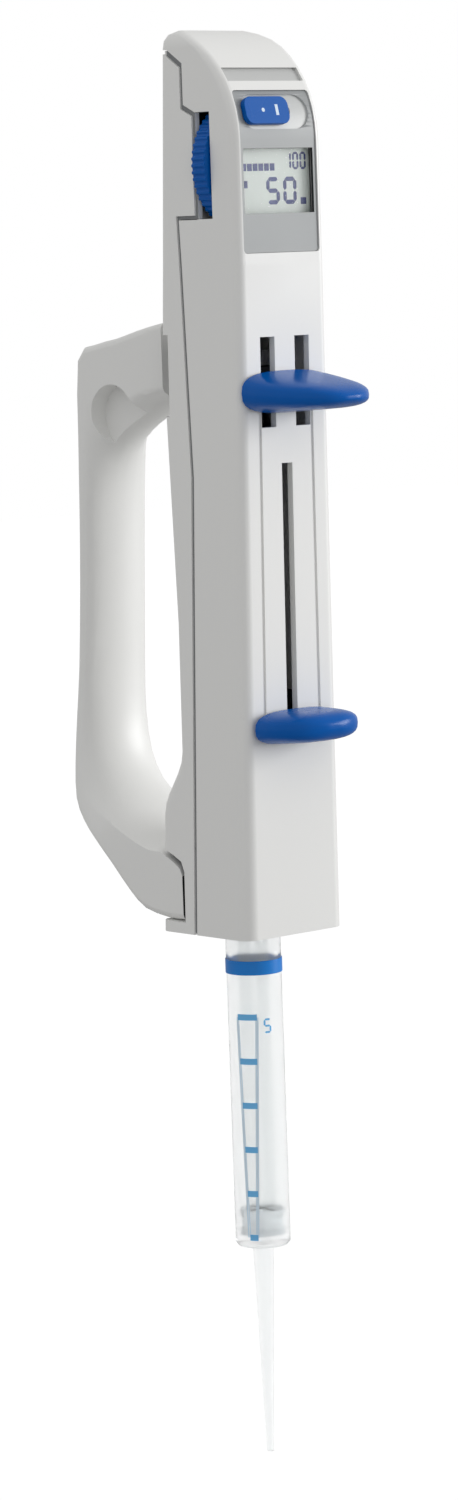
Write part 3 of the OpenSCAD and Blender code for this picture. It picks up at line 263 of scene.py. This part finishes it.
# Spray paint in the band across the brow
band_paint = moulded("sprayed_band_paint_grey", BAND_GREY, 0.45, 0.5, 0.1)
# Pale print on the switch
mark_print = moulded("pad_printed_mark_pale", MARK_PALE, 0.4, 0.4, 0.05)
# Dark segments of the liquid-crystal cell, and the reflector behind them
segment_ink = moulded("liquid_crystal_segments", SEGMENT_INK, 0.4, 0.4, 0.0, {"IOR": INK_IOR})
lcd_glass = finish_with("liquid_crystal_reflector", {"Roughness": 0.3, "IOR": 1.5}, lcd_face)
# Circuit board
board_mask = finish_with("solder_masked_glass_epoxy",
                         {"Base Color": linear(MASK_GREEN), "Roughness": 0.3, "IOR": 1.55}, solder_mask)

CAD_FINISH = {
    "front_shell": shell_abs, "rear_shell": shell_abs, "battery_cover": shell_abs, "handle": shell_abs,
    "display_bezel": bezel_abs, "display_window": acrylic, "lcd_module": lcd_glass,
    "circuit_board": board_mask, "power_knob": blue_abs, "power_switch": nylon, "dial_wheel": blue_abs,
    "dial_axle": ground_steel, "dial_bracket": nylon, "detent_spring": spring_steel,
    "upper_bridge": nylon, "lower_bridge": nylon, "guide_rods": ground_steel, "stop_cage": ground_steel,
    "lever_yoke": nylon, "dispensing_lever": blue_abs, "lever_springs": spring_steel,
    "pawl": ground_steel, "pawl_pin": ground_steel, "toothed_rack": ground_steel,
    "filling_lever": blue_abs, "fill_carriage": nylon, "piston_clamp": ground_steel,
    "tip_socket": nylon_pale, "clamp_jaw_left": ground_steel, "clamp_jaw_right": ground_steel,
    "jaw_pins": ground_steel, "tip_barrel": tip_pp, "colour_ring": ring_pp, "tip_plunger": tip_pp,
    "tip_seal": seal_pe, "handle_screws": zinc_steel, "housing_screws": zinc_steel,
    "battery_tray": nylon, "coin_cell": ground_steel,
}
for node_name, material in CAD_FINISH.items():
    data = nodes[node_name].data
    data.materials.clear()
    data.materials.append(material)


# ---- Moulded pieces that stand for CAD nodes ---------------------------------------------------

WELD = 0.002 * MM
FLAT_DEG = 0.3                  # faces that meet at less are merged before the edges are rounded
SHARP_DEG = 32                  # edges that turn more stay sharp or get a rounding
EDGE_MM = {
    "front_shell": 0.2, "rear_shell": 0.2, "handle": 0.25, "display_bezel": 0.12, "battery_cover": 0.15,
    "dispensing_lever": 0.0, "filling_lever": 0.0, "dial_wheel": 0.12, "power_knob": 0.2,
    "tip_barrel": 0.08, "colour_ring": 0.05,
}


def as_piece(name, mesh, material, body, replaced=()):
    """Links a finished mesh as a piece that rides on a body."""
    mesh.name = name
    mesh.materials.clear()
    mesh.materials.append(material)
    piece = bpy.data.objects.new(name, mesh)
    bpy.context.scene.collection.objects.link(piece)
    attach(piece, body)
    if replaced:
        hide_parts(*replaced)
    return piece


def baked(mesh, add_modifiers):
    """The mesh with modifiers applied, which add_modifiers puts on an object that carries it."""
    carrier = bpy.data.objects.new("carrier", mesh)
    bpy.context.scene.collection.objects.link(carrier)
    add_modifiers(carrier.modifiers)
    evaluated = carrier.evaluated_get(bpy.context.evaluated_depsgraph_get())
    made = bpy.data.meshes.new_from_object(evaluated)
    bpy.data.objects.remove(carrier)
    return made


def moulded_piece(node_name, edge_mm):
    """A copy of a CAD node whose hard edges are rounded like those of a moulded piece."""
    mesh = nodes[node_name].data.copy()
    shape = bmesh.new()
    shape.from_mesh(mesh)
    bmesh.ops.remove_doubles(shape, verts=shape.verts, dist=WELD)
    bmesh.ops.dissolve_limit(shape, angle_limit=math.radians(FLAT_DEG), verts=shape.verts, edges=shape.edges)
    shape.to_mesh(mesh)
    shape.free()
    mesh.shade_smooth()
    mesh.set_sharp_from_angle(angle=math.radians(SHARP_DEG))

    def round_edges(modifiers):
        if edge_mm:
            bevel = modifiers.new("rounding", "BEVEL")
            bevel.width = edge_mm * MM
            bevel.segments = 2
            bevel.limit_method = "ANGLE"
            bevel.angle_limit = math.radians(SHARP_DEG)
            bevel.harden_normals = True
            bevel.use_clamp_overlap = True
        modifiers.new("even_shading", "WEIGHTED_NORMAL").keep_sharp = True

    return as_piece(node_name + "_moulded", baked(mesh, round_edges), CAD_FINISH[node_name],
                    BODY_OF[node_name], (node_name,))


for node_name, edge_mm in EDGE_MM.items():
    moulded_piece(node_name, edge_mm)

# The springs stand on the stop cage and shorten by the whole stroke when the lever is pressed; here their
# moulded piece only gets a mesh of its own
springs = moulded_piece("lever_springs", 0.0)
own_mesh(springs)


# ---- Painted band and painted shade of the casing ----------------------------------------------
# Places are in millimetres in the shared frame: X to the right, Y to the back, Z up.

BROW_R, BROW_SWEEP = 27.0, 79   # radius of the brow and its sweep in degrees
BAND_DEPTH, BAND_REACH = 0.7, 6.5   # floor of the band below the brow, and its height above the bezel
FOOT_Z, SHOULDER_Z, NAPE_Z = 130.0, 290.0, 340.0
FOOT_HALF_W, HEAD_HALF_W = 15.9, 14.0
GROOVE_DEPTH = 0.5              # of the seam's shadow groove in the side of the rear shell
DEPTH_OFF = 0.2                 # how far a face may lie from the depth that it is known by
WINDOW_HALF_W, WINDOW_Z0, WINDOW_Z1 = 11.1, 301.8, 317.0
WALL_OFF, WINDOW_MARGIN = 0.25, 0.3
WINDOW_Y0, WINDOW_Y1 = -30.0, 0.0
RECESS_LOW, RECESS_HIGH = (6.9, 7.1, 254.4), (14.4, 10.6, 274.1)
FOOT_JOINT_LOW, FOOT_JOINT_HIGH = (-15.5, 6.2, 133.0), (15.5, 12.0, 149.6)
SOLE_TOP, SOLE_Y = 200.0, 7.7   # the handle's lower arm seats on the shell below and in front of these
SWITCH_Z = 325.7                # middle of the power switch
TRACK_DEPTHS, TRACK_HALF_W, TRACK_HALF_H = (0.5, 1.05), 10.9, 4.4
SLIGHTLY, MOSTLY, FULLY = 0.3, 0.6, 0.9     # how much of a face's normal points one way

bezel_high = [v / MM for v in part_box("display_bezel")[1]]
shell_low, shell_high = ([v / MM for v in corner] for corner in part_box("front_shell"))
brow_z = shell_high[2] - BROW_R * math.sin(math.radians(BROW_SWEEP))
brow_y = shell_low[1] + BROW_R
knob_tilt = math.asin((SWITCH_Z - brow_z) / BROW_R)


def paint(piece_name, material, test):
    """Gives a second finish to the faces of a piece that pass a test of their centre and normal."""
    mesh = bpy.data.objects[piece_name].data
    if material.name not in mesh.materials:
        mesh.materials.append(material)
    slot = mesh.materials.find(material.name)
    for face in mesh.polygons:
        if test(face.center / MM, face.normal):
            face.material_index = slot


def inside(centre, low, high):
    """Whether a point lies in a box."""
    return all(a <= v <= b for a, v, b in zip(low, centre, high))


def brow_depth(centre):
    """How deep a point lies below the brow's cylinder."""
    return BROW_R - math.hypot(centre.y - brow_y, centre.z - brow_z)


def is_band(centre, _normal):
    """The sunk band across the brow, above the bezel."""
    return (bezel_high[2] < centre.z < bezel_high[2] + BAND_REACH and abs(centre.x) < bezel_high[0]
            and centre.y < brow_y and abs(brow_depth(centre) - BAND_DEPTH) < DEPTH_OFF)


def is_seam_groove(centre, normal):
    """The floor of the seam groove, in the sides that draw together from the foot to the shoulder."""
    share = min(1.0, (centre.z - FOOT_Z) / (SHOULDER_Z - FOOT_Z))
    depth = FOOT_HALF_W + (HEAD_HALF_W - FOOT_HALF_W) * share - abs(centre.x)
    return abs(depth - GROOVE_DEPTH) < DEPTH_OFF and abs(normal.x) > FULLY and centre.z < NAPE_Z


def is_window_wall(centre, normal):
    """The four walls of the opening in front of the display."""
    on_side = abs(abs(centre.x) - WINDOW_HALF_W) < WALL_OFF and abs(normal.x) > MOSTLY
    on_end = (min(abs(centre.z - WINDOW_Z0), abs(centre.z - WINDOW_Z1)) < WALL_OFF
              and abs(normal.z) > MOSTLY)
    half_w = WINDOW_HALF_W + WINDOW_MARGIN
    return (on_side or on_end) and inside(centre, (-half_w, WINDOW_Y0, WINDOW_Z0 - WINDOW_MARGIN),
                                          (half_w, WINDOW_Y1, WINDOW_Z1 + WINDOW_MARGIN))


def is_recess(centre, _normal):
    """The recess on either side of the handle's upper arm."""
    return inside((abs(centre.x), centre.y, centre.z), RECESS_LOW, RECESS_HIGH)


def is_foot_joint(centre, normal):
    """The seat of the handle's lower arm in the rear shell."""
    return inside(centre, FOOT_JOINT_LOW, FOOT_JOINT_HIGH) and (normal.y > SLIGHTLY or normal.z < -SLIGHTLY)


def is_sole(centre, normal):
    """The face of the handle's lower arm that lies on that seat."""
    return centre.z < SOLE_TOP and centre.y < SOLE_Y and normal.y < -SLIGHTLY


def is_track(centre, _normal):
    """The oval dish round the power switch: deeper than the bezel's face, and turned up the brow."""
    along_brow = BROW_R * (math.atan2(centre.z - brow_z, brow_y - centre.y) - knob_tilt)
    return (TRACK_DEPTHS[0] < brow_depth(centre) < TRACK_DEPTHS[1] and abs(along_brow) < TRACK_HALF_H
            and abs(centre.x) < TRACK_HALF_W)


# The band is painted grey; the window walls, the lower arm's joint, the recess and the seam groove get
# painted shade
for piece_name, material, test in (("front_shell_moulded", band_paint, is_band),
                                   ("front_shell_moulded", painted_shade_black, is_window_wall),
                                   ("display_bezel_moulded", painted_shade_black, is_window_wall),
                                   ("display_bezel_moulded", track_abs, is_track),
                                   ("rear_shell_moulded", painted_shade_grey, is_seam_groove),
                                   ("rear_shell_moulded", painted_shade_grey, is_recess),
                                   ("rear_shell_moulded", painted_shade_black, is_foot_joint),
                                   ("handle_moulded", painted_shade_black, is_sole)):
    paint(piece_name, material, test)


# ---- Display and marks ---------------------------------------------------------------------------

LIT = {0: "abcdef", 1: "bc", 5: "acdfg"}    # bars that make each digit
BAR_GAP_PARTS = 6               # the gap at a bar's end is this part of half its width


def mesh_of(name, points, faces):
    """A mesh from points in metres."""
    mesh = bpy.data.meshes.new(name)
    mesh.from_pydata(points, [], faces)
    return mesh


def plate(outlines, y_front, y_back, place=lambda x, y, z: (x, y, z)):
    """Flat closed plates from outlines drawn as (x, z) in millimetres, anticlockwise seen from the front."""
    points, faces = [], []
    for outline in outlines:
        first, count = len(points), len(outline)
        for y in (y_front, y_back):
            points += [tuple(v * MM for v in place(x, y, z)) for x, z in outline]
        faces.append(tuple(first + k for k in range(count)))
        faces.append(tuple(first + count + k for k in reversed(range(count))))
        faces += [(first + k, first + count + k, first + count + (k + 1) % count, first + (k + 1) % count)
                  for k in range(count)]
    return mesh_of("plate", points, faces)


def rectangle(x0, x1, z0, z1):
    """An outline of four corners."""
    return [(x0, z0), (x1, z0), (x1, z1), (x0, z1)]


def segment(x0, z0, x1, z1, half):
    """One bar of a digit with pointed ends, a little short of the bars it meets."""
    gap = half / BAR_GAP_PARTS
    if x0 == x1:
        z0, z1 = z0 + gap, z1 - gap
        return [(x0, z0), (x0 + half, z0 + half), (x0 + half, z1 - half), (x0, z1),
                (x0 - half, z1 - half), (x0 - half, z0 + half)]
    x0, x1 = x0 + gap, x1 - gap
    return [(x0, z0), (x0 + half, z0 - half), (x1 - half, z0 - half), (x1, z0),
            (x1 - half, z0 + half), (x0 + half, z0 + half)]


def digit(value, x, z, width, height, half):
    """Outlines of a seven-segment digit whose lower left corner is at x, z."""
    left, right, low, high = x + half, x + width - half, z + half, z + height - half
    middle = (low + high) / 2
    bars = {"a": (left, high, right, high), "b": (right, middle, right, high),
            "c": (right, low, right, middle), "d": (left, low, right, low), "e": (left, low, left, middle),
            "f": (left, middle, left, high), "g": (left, middle, right, middle)}
    return [segment(*bars[letter], half) for letter in LIT[value]]


# Rows of digits: values, left edge, pitch, foot, width and height of a digit, half the width of its bars
DIGIT_ROWS = (((5, 0), -2.2, 5.4, 303.9, 4.2, 6.4, 0.5),
              ((1, 0, 0), 4.0, 2.35, 312.0, 1.95, 4.1, 0.28))
# Row of blocks: how many, left edge, pitch, width, foot and top
BLOCKS, BLOCK_X, BLOCK_PITCH, BLOCK_W, BLOCK_Z0, BLOCK_Z1 = 6, -9.9, 1.8, 1.45, 311.8, 313.5
LONE_BLOCKS = ((-10.0, -8.2, 307.8, 309.5), (8.7, 10.4, 303.8, 305.4))
SEGMENT_RISE, SEGMENT_SINK = 0.06, 0.01     # before and behind the face of the cell

readout = [outline for values, x, pitch, z, *shape in DIGIT_ROWS
           for k, value in enumerate(values) for outline in digit(value, x + pitch * k, z, *shape)]
readout += [rectangle(BLOCK_X + BLOCK_PITCH * k, BLOCK_X + BLOCK_PITCH * k + BLOCK_W, BLOCK_Z0, BLOCK_Z1)
            for k in range(BLOCKS)]
readout += [rectangle(*corners) for corners in LONE_BLOCKS]
lcd_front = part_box("lcd_module")[0][1] / MM
as_piece("lcd_segments", plate(readout, lcd_front - SEGMENT_RISE, lcd_front + SEGMENT_SINK), segment_ink,
         BODY_OF["lcd_module"])

# Dot and bar printed on the face of the switch knob, drawn upright and then tilted with the brow
KNOB_FACE, MARK_HALF_T = -19.55, 0.03
DOT_X, DOT_R, DOT_SIDES = -1.3, 0.5, 16
BAR_X0, BAR_X1, BAR_HALF_H = 2.6, 3.5, 1.3

knob_low, knob_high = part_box("power_knob")
knob_x = (knob_low[0] + knob_high[0]) / 2 / MM


def on_brow(x, y, z):
    """Turns a point of the straight front about the axis of the brow."""
    deep, up = y - brow_y, z - brow_z
    return (x, brow_y + deep * math.cos(knob_tilt) + up * math.sin(knob_tilt),
            brow_z - deep * math.sin(knob_tilt) + up * math.cos(knob_tilt))


dot = [(knob_x + DOT_X + DOT_R * math.cos(math.tau * k / DOT_SIDES),
        brow_z + DOT_R * math.sin(math.tau * k / DOT_SIDES)) for k in range(DOT_SIDES)]
bar = rectangle(knob_x + BAR_X0, knob_x + BAR_X1, brow_z - BAR_HALF_H, brow_z + BAR_HALF_H)
as_piece("power_knob_marks", plate([dot, bar], KNOB_FACE - MARK_HALF_T, KNOB_FACE + MARK_HALF_T, on_brow),
         mark_print, BODY_OF["power_knob"])


# ---- Geometry trees ------------------------------------------------------------------------------

def geometry_tree(name, inputs):
    """A Geometry Nodes tree whose named inputs, given with their kind, follow its geometry."""
    tree = bpy.data.node_groups.new(name, "GeometryNodeTree")
    tree.interface.new_socket("Geometry", in_out="INPUT", socket_type="NodeSocketGeometry")
    tree.interface.new_socket("Geometry", in_out="OUTPUT", socket_type="NodeSocketGeometry")
    for label, kind in inputs.items():
        tree.interface.new_socket(label, in_out="INPUT", socket_type="NodeSocket" + kind)
    return tree, add_node(tree, "NodeGroupInput").outputs


def copies_at(tree, points, shape, **inputs):
    """Instances of a shape at every point."""
    return add_node(tree, "GeometryNodeInstanceOnPoints",
                    {"Points": points, "Instance": shape, **inputs}).outputs[0]


def realized(tree, instances):
    """The real geometry of instances."""
    return add_node(tree, "GeometryNodeRealizeInstances", {0: instances}).outputs[0]


def end_tree(tree, instances, material):
    """Ends a tree: instances become real and take a material."""
    dressed = add_node(tree, "GeometryNodeSetMaterial",
                       {"Geometry": realized(tree, instances), "Material": material})
    add_node(tree, "NodeGroupOutput", {0: dressed.outputs[0]})


def run_tree(tree, mesh, values):
    """The mesh a tree makes from a mesh; values are set by the identifiers of its named inputs."""
    def add_tree(modifiers):
        modifier = modifiers.new("grow", "NODES")
        modifier.node_group = tree
        for item in tree.interface.items_tree:
            if item.in_out == "INPUT" and item.name in values:
                modifier[item.identifier] = values[item.name]

    return baked(mesh, add_tree)


# ---- Volume scale on the barrel ------------------------------------------------------------------
# Rungs at every millilitre between two rails that draw together downwards. Angles are measured from
# the front towards the left.

SCALE_R = 6.675
SCALE_TOP, SCALE_FOOT = 109.1, 54.8
RUNGS, RUNG_PITCH, RUNG_H, RUNG_STEPS = 6, 10.86, 1.5, 8
TOP_RIGHT, TOP_LEFT = math.radians(39.4), math.radians(82.2)
FOOT_RIGHT, FOOT_LEFT = math.radians(53.3), math.radians(71.2)
RAIL_W, RAIL_STEPS = math.radians(7), 12
INK_T = 0.04
RUNG_SINK, RAIL_SINK, NUMERAL_SINK = 0.02, 0.03, 0.03   # how deep the back of each print lies in the wall
NUMERAL_ANGLE = math.radians(17)
NUMERAL_X, NUMERAL_Z, NUMERAL_W, NUMERAL_H, NUMERAL_BAR = -1.0, 105.1, 2.0, 3.6, 0.24


def strip(name, rows):
    """A closed strip with a cross-section of four points in each row."""
    last = 4 * (len(rows) - 1)
    faces = [(a + i, a + 4 + i, a + 4 + (i + 1) % 4, a + (i + 1) % 4)
             for a in range(0, last, 4) for i in range(4)]
    faces += [(0, 1, 2, 3), tuple(last + i for i in reversed(range(4)))]
    return mesh_of(name, [point for row in rows for point in row], faces)


def wrapped(tree, geometry, radius):
    """Wraps flat geometry (x as an angle, z as a height) on the barrel at a radius."""
    place = add_node(tree, "GeometryNodeInputPosition")
    flat = add_node(tree, "ShaderNodeSeparateXYZ", {0: place.outputs[0]}).outputs
    reach = maths(tree, "ADD", radius, flat["Y"])
    left = maths(tree, "MULTIPLY", maths(tree, "MULTIPLY", maths(tree, "SINE", flat["X"]), reach), -1.0)
    front = maths(tree, "MULTIPLY", maths(tree, "MULTIPLY", maths(tree, "COSINE", flat["X"]), reach), -1.0)
    joined = add_node(tree, "ShaderNodeCombineXYZ", {"X": left, "Y": front, "Z": flat["Z"]})
    return add_node(tree, "GeometryNodeSetPosition",
                    {"Geometry": geometry, "Position": joined.outputs[0]}).outputs[0]


def repeated_rungs():
    """Copies of one flat rung, stacked by the pitch and narrowed from the top width to the foot width."""
    tree, given = geometry_tree("printed_rungs", dict.fromkeys(
        ("Count", "Pitch", "Top width", "Foot width", "Radius"), "Float"))
    index = add_node(tree, "GeometryNodeInputIndex").outputs[0]
    share = maths(tree, "DIVIDE", index, maths(tree, "SUBTRACT", given["Count"], 1.0))
    offset = add_node(tree, "ShaderNodeCombineXYZ", {"Z": maths(tree, "MULTIPLY", given["Pitch"], -1.0)})
    line = add_node(tree, "GeometryNodeMeshLine", {"Count": given["Count"], "Offset": offset.outputs[0]})
    width = add_node(tree, "ShaderNodeMapRange",
                     {"Value": share, "To Min": given["Top width"], "To Max": given["Foot width"]})
    size = add_node(tree, "ShaderNodeCombineXYZ", {"X": width.outputs["Result"], "Y": 1.0, "Z": 1.0})
    rungs = copies_at(tree, line.outputs["Mesh"], given["Geometry"], Scale=size.outputs[0])
    end_tree(tree, wrapped(tree, realized(tree, rungs), given["Radius"]), scale_ink)
    return tree


def flat_rung():
    """One rung one unit wide, centred on angle 0, subdivided so that it can be wrapped."""
    half, deep = RUNG_H / 2 * MM, INK_T * MM
    across = [k / RUNG_STEPS - 0.5 for k in range(RUNG_STEPS + 1)]
    return strip("rung", [((x, 0.0, -half), (x, 0.0, half), (x, deep, half), (x, deep, -half))
                          for x in across])


def on_barrel(angle, radius, z):
    """A point at an angle, a radius and a height, all lengths in millimetres."""
    return (-math.sin(angle) * radius, -math.cos(angle) * radius, z)


def rail(top_angle, foot_angle):
    """A closed strip printed down the barrel between two angles."""
    rows = []
    for k in range(RAIL_STEPS + 1):
        share = k / RAIL_STEPS
        angle = top_angle + (foot_angle - top_angle) * share
        z = SCALE_TOP + (SCALE_FOOT - SCALE_TOP) * share
        corners = ((-1, 0.0), (1, 0.0), (1, INK_T), (-1, INK_T))
        rows.append([tuple(v * MM for v in on_barrel(angle + way * RAIL_W / 2, SCALE_R - RAIL_SINK + lift, z))
                     for way, lift in corners])
    return strip("rail", rows)


rungs = run_tree(repeated_rungs(), flat_rung(),
                 {"Count": float(RUNGS), "Pitch": RUNG_PITCH * MM, "Top width": TOP_LEFT - TOP_RIGHT,
                  "Foot width": FOOT_LEFT - FOOT_RIGHT, "Radius": (SCALE_R - RUNG_SINK) * MM})
rungs.transform(Matrix.Translation((0, 0, SCALE_TOP * MM))
                @ Matrix.Rotation(-(TOP_RIGHT + TOP_LEFT) / 2, 4, "Z"))
numeral = plate(digit(5, NUMERAL_X, NUMERAL_Z, NUMERAL_W, NUMERAL_H, NUMERAL_BAR), -INK_T, NUMERAL_SINK,
                lambda x, y, z: on_barrel(NUMERAL_ANGLE - x / SCALE_R, SCALE_R - y, z))
for print_name, mesh, ink in (("scale_rungs", rungs, scale_ink),
                              ("scale_rail_left", rail(TOP_LEFT, FOOT_LEFT), scale_tint),
                              ("scale_rail_right", rail(TOP_RIGHT, FOOT_RIGHT), scale_tint),
                              ("scale_numeral", numeral, scale_ink)):
    as_piece(print_name, mesh, ink, BODY_OF["tip_barrel"])


# ---- Screws of the housing -----------------------------------------------------------------------

SCREW_HEAD_R, SCREW_HEAD_T, SCREW_R = 1.9, 1.4, 0.95
SCREW_HEAD_STEPS = ((1.0, 0.0), (1.0, 0.5), (0.93, 0.78), (0.76, 1.0))  # shares of its radius and height
RECESS_W, RECESS_T, RECESS_SHARE = 0.55, 0.8, 0.62      # width of an arm, depth, reach in the head
BETWEEN_ARMS = (24, 35, 45, 55, 66)     # degrees from one arm of the cross at which the head is divided
SCREW_TIP_Y = -9.0
SAME_PLACE = 0.001 * MM


def screw_shape(length):
    """One cross-recessed pan-head screw along Z in millimetres, made of rings, its head from z = 0 up."""
    half_w, half_l = RECESS_W / 2, SCREW_HEAD_R * RECESS_SHARE
    tip_angle = math.atan2(half_w, half_l)
    quarter = [0.0, tip_angle] + [math.radians(a) for a in BETWEEN_ARMS] + [math.pi / 2 - tip_angle]
    angles = [q + k * math.pi / 2 for k in range(4) for q in quarter]
    count = len(angles)

    def recess_at(angle):
        """How far the cross reaches in a direction: an arm's end, or the side of the arm that is nearer."""
        along, across = sorted((abs(math.cos(angle)), abs(math.sin(angle))), reverse=True)
        return min(half_l / along, half_w / max(across, 1e-6))

    profile = [(SCREW_R, -length), (SCREW_R, 0.0)]
    profile += [(SCREW_HEAD_R * r, SCREW_HEAD_T * z) for r, z in SCREW_HEAD_STEPS]
    rings = [([r] * count, z) for r, z in profile]
    rings += [([recess_at(a) for a in angles], z) for z in (SCREW_HEAD_T, SCREW_HEAD_T - RECESS_T)]
    last = (len(rings) - 1) * count
    faces = [(a + k, a + (k + 1) % count, a + count + (k + 1) % count, a + count + k)
             for a in range(0, last, count) for k in range(count)]
    faces += [tuple(reversed(range(count))), tuple(last + k for k in range(count))]
    points = [(r * math.cos(a), r * math.sin(a), z) for radii, z in rings for r, a in zip(radii, angles)]
    return mesh_of("screw", points, faces)


def repeated_screws():
    """Copies of one screw, turned to point along Y, at every point: the points lie under the heads."""
    tree, given = geometry_tree("housing_screws", {"Unit": "Float", "Screw": "Object"})
    shape = add_node(tree, "GeometryNodeObjectInfo", {"Object": given["Screw"]}).outputs["Geometry"]
    copies = copies_at(tree, given["Geometry"], shape, Rotation=(-math.pi / 2, 0.0, 0.0), Scale=given["Unit"])
    end_tree(tree, copies, zinc_steel)
    return tree


def islands(mesh):
    """Boxes of the separate solids of a mesh."""
    parent = list(range(len(mesh.vertices)))

    def root(k):
        while parent[k] != k:
            parent[k] = parent[parent[k]]
            k = parent[k]
        return k

    by_place = {}
    for vertex in mesh.vertices:
        key = tuple(round(v / SAME_PLACE) for v in vertex.co)
        parent[root(vertex.index)] = root(by_place.setdefault(key, vertex.index))
    for edge in mesh.edges:
        parent[root(edge.vertices[0])] = root(edge.vertices[1])
    groups = {}
    for vertex in mesh.vertices:
        groups.setdefault(root(vertex.index), []).append(vertex.co)
    return [([min(p[k] for p in g) for k in range(3)], [max(p[k] for p in g) for k in range(3)])
            for g in groups.values()]


screw_points = [((low[0] + high[0]) / 2, high[1] - SCREW_HEAD_T * MM, (low[2] + high[2]) / 2)
                for low, high in islands(nodes["housing_screws"].data)]
screw_l = min(point[1] for point in screw_points) / MM - SCREW_TIP_Y
one_screw = bpy.data.objects.new("one_screw", screw_shape(screw_l))
bpy.context.scene.collection.objects.link(one_screw)
seats = mesh_of("screw_seats", screw_points, [])
screws = run_tree(repeated_screws(), seats, {"Screw": one_screw, "Unit": MM})
bpy.data.objects.remove(one_screw)
as_piece("housing_screws_cross_recessed", screws, zinc_steel, BODY_OF["housing_screws"],
         ("housing_screws",))


# ---- Light and floor ---------------------------------------------------------------------------

scene = bpy.context.scene
scene.view_settings.view_transform = "Standard"

AMBIENT = 0.68                  # radiance of the soft surround
KEY_STRENGTH = 1.9              # irradiance of the large lamp
KEY_FROM = Vector((0.83, -0.55, 0.13))
KEY_ANGLE = 28                  # apparent size of the lamp in degrees
FLOOR_GAP = 0.5 * MM
FLOOR_HALF = 3.0
FLOOR_GLOW = 0.66               # with its own grey, makes the lit floor white to the camera

# Soft white surround: white to the camera, dimmer to the object
world = bpy.data.worlds.new("soft_surround")
scene.world = world
sky = emptied_tree(world)
soft = add_node(sky, "ShaderNodeBackground", {"Color": linear(PAPER_WHITE), "Strength": AMBIENT})
white = add_node(sky, "ShaderNodeBackground", {"Color": linear(PAPER_WHITE), "Strength": 1.0})
blend = add_node(sky, "ShaderNodeMixShader",
                 {0: seen_directly(sky), 1: soft.outputs[0], 2: white.outputs[0]})
add_node(sky, "ShaderNodeOutputWorld", {"Surface": blend.outputs[0]})

key = bpy.data.lights.new("key_lamp", "SUN")
key.energy = KEY_STRENGTH
key.angle = math.radians(KEY_ANGLE)
key_lamp = bpy.data.objects.new("key_lamp", key)
key_lamp.rotation_euler = KEY_FROM.to_track_quat("Z", "Y").to_euler()
scene.collection.objects.link(key_lamp)

# Pale floor just under the orifice: it shows white to the camera and keeps a soft shadow
floor_finish = bpy.data.materials.new("matt_white_floor_board")
board = emptied_tree(floor_finish)
board_glow = add_node(board, "ShaderNodeEmission", {"Color": linear(PAPER_WHITE), "Strength": FLOOR_GLOW})
board_matt = add_node(board, "ShaderNodeBsdfDiffuse", {"Color": linear(FLOOR_GREY)})
board_sum = add_node(board, "ShaderNodeAddShader", {0: board_glow.outputs[0], 1: board_matt.outputs[0]})
board_mix = add_node(board, "ShaderNodeMixShader",
                     {0: seen_directly(board), 1: board_matt.outputs[0], 2: board_sum.outputs[0]})
add_node(board, "ShaderNodeOutputMaterial", {"Surface": board_mix.outputs[0]})

floor_corners = [(x * FLOOR_HALF, y * FLOOR_HALF, -FLOOR_GAP)
                 for x, y in ((-1, -1), (1, -1), (1, 1), (-1, 1))]
floor_mesh = mesh_of("floor", floor_corners, [(0, 1, 2, 3)])
floor_mesh.materials.append(floor_finish)
floor = bpy.data.objects.new("floor", floor_mesh)
scene.collection.objects.link(floor)


# ---- Camera --------------------------------------------------------------------------------------
# It stands 42 degrees round to the left, a little above the middle of the object, and looks slightly down.

CAMERA_AZIMUTH = math.radians(42)
CAMERA_DISTANCE = 1.080
CAMERA_HEIGHT = 0.296
FOCAL, HALF_PICTURE = 4500, 750         # focal length and half the picture's height, in pixels
AIM_RIGHT, AIM_DOWN = 17.5, 510         # how far the view's middle is turned off the level view, in pixels
CAMERA_YAW, CAMERA_PITCH = math.atan(AIM_RIGHT / FOCAL), math.atan(AIM_DOWN / FOCAL)
CAMERA_ROLL = math.radians(2)

level = Vector((math.sin(CAMERA_AZIMUTH), math.cos(CAMERA_AZIMUTH), 0))
side = Vector((math.cos(CAMERA_AZIMUTH), -math.sin(CAMERA_AZIMUTH), 0))
ahead = math.cos(CAMERA_YAW) * level - math.sin(CAMERA_YAW) * side
right = math.cos(CAMERA_YAW) * side + math.sin(CAMERA_YAW) * level
look = math.cos(CAMERA_PITCH) * ahead - math.sin(CAMERA_PITCH) * UP
above = math.cos(CAMERA_PITCH) * UP + math.sin(CAMERA_PITCH) * ahead
rolled_right = math.cos(CAMERA_ROLL) * right - math.sin(CAMERA_ROLL) * above
rolled_up = math.sin(CAMERA_ROLL) * right + math.cos(CAMERA_ROLL) * above

lens = bpy.data.cameras.new("camera")
lens.sensor_fit = "VERTICAL"
lens.angle_y = 2 * math.atan(HALF_PICTURE / FOCAL)
camera = bpy.data.objects.new("camera", lens)
turn = Matrix((rolled_right, rolled_up, -look)).transposed()
camera.matrix_world = Matrix.Translation(-level * CAMERA_DISTANCE + UP * CAMERA_HEIGHT) @ turn.to_4x4()
scene.collection.objects.link(camera)
scene.camera = camera
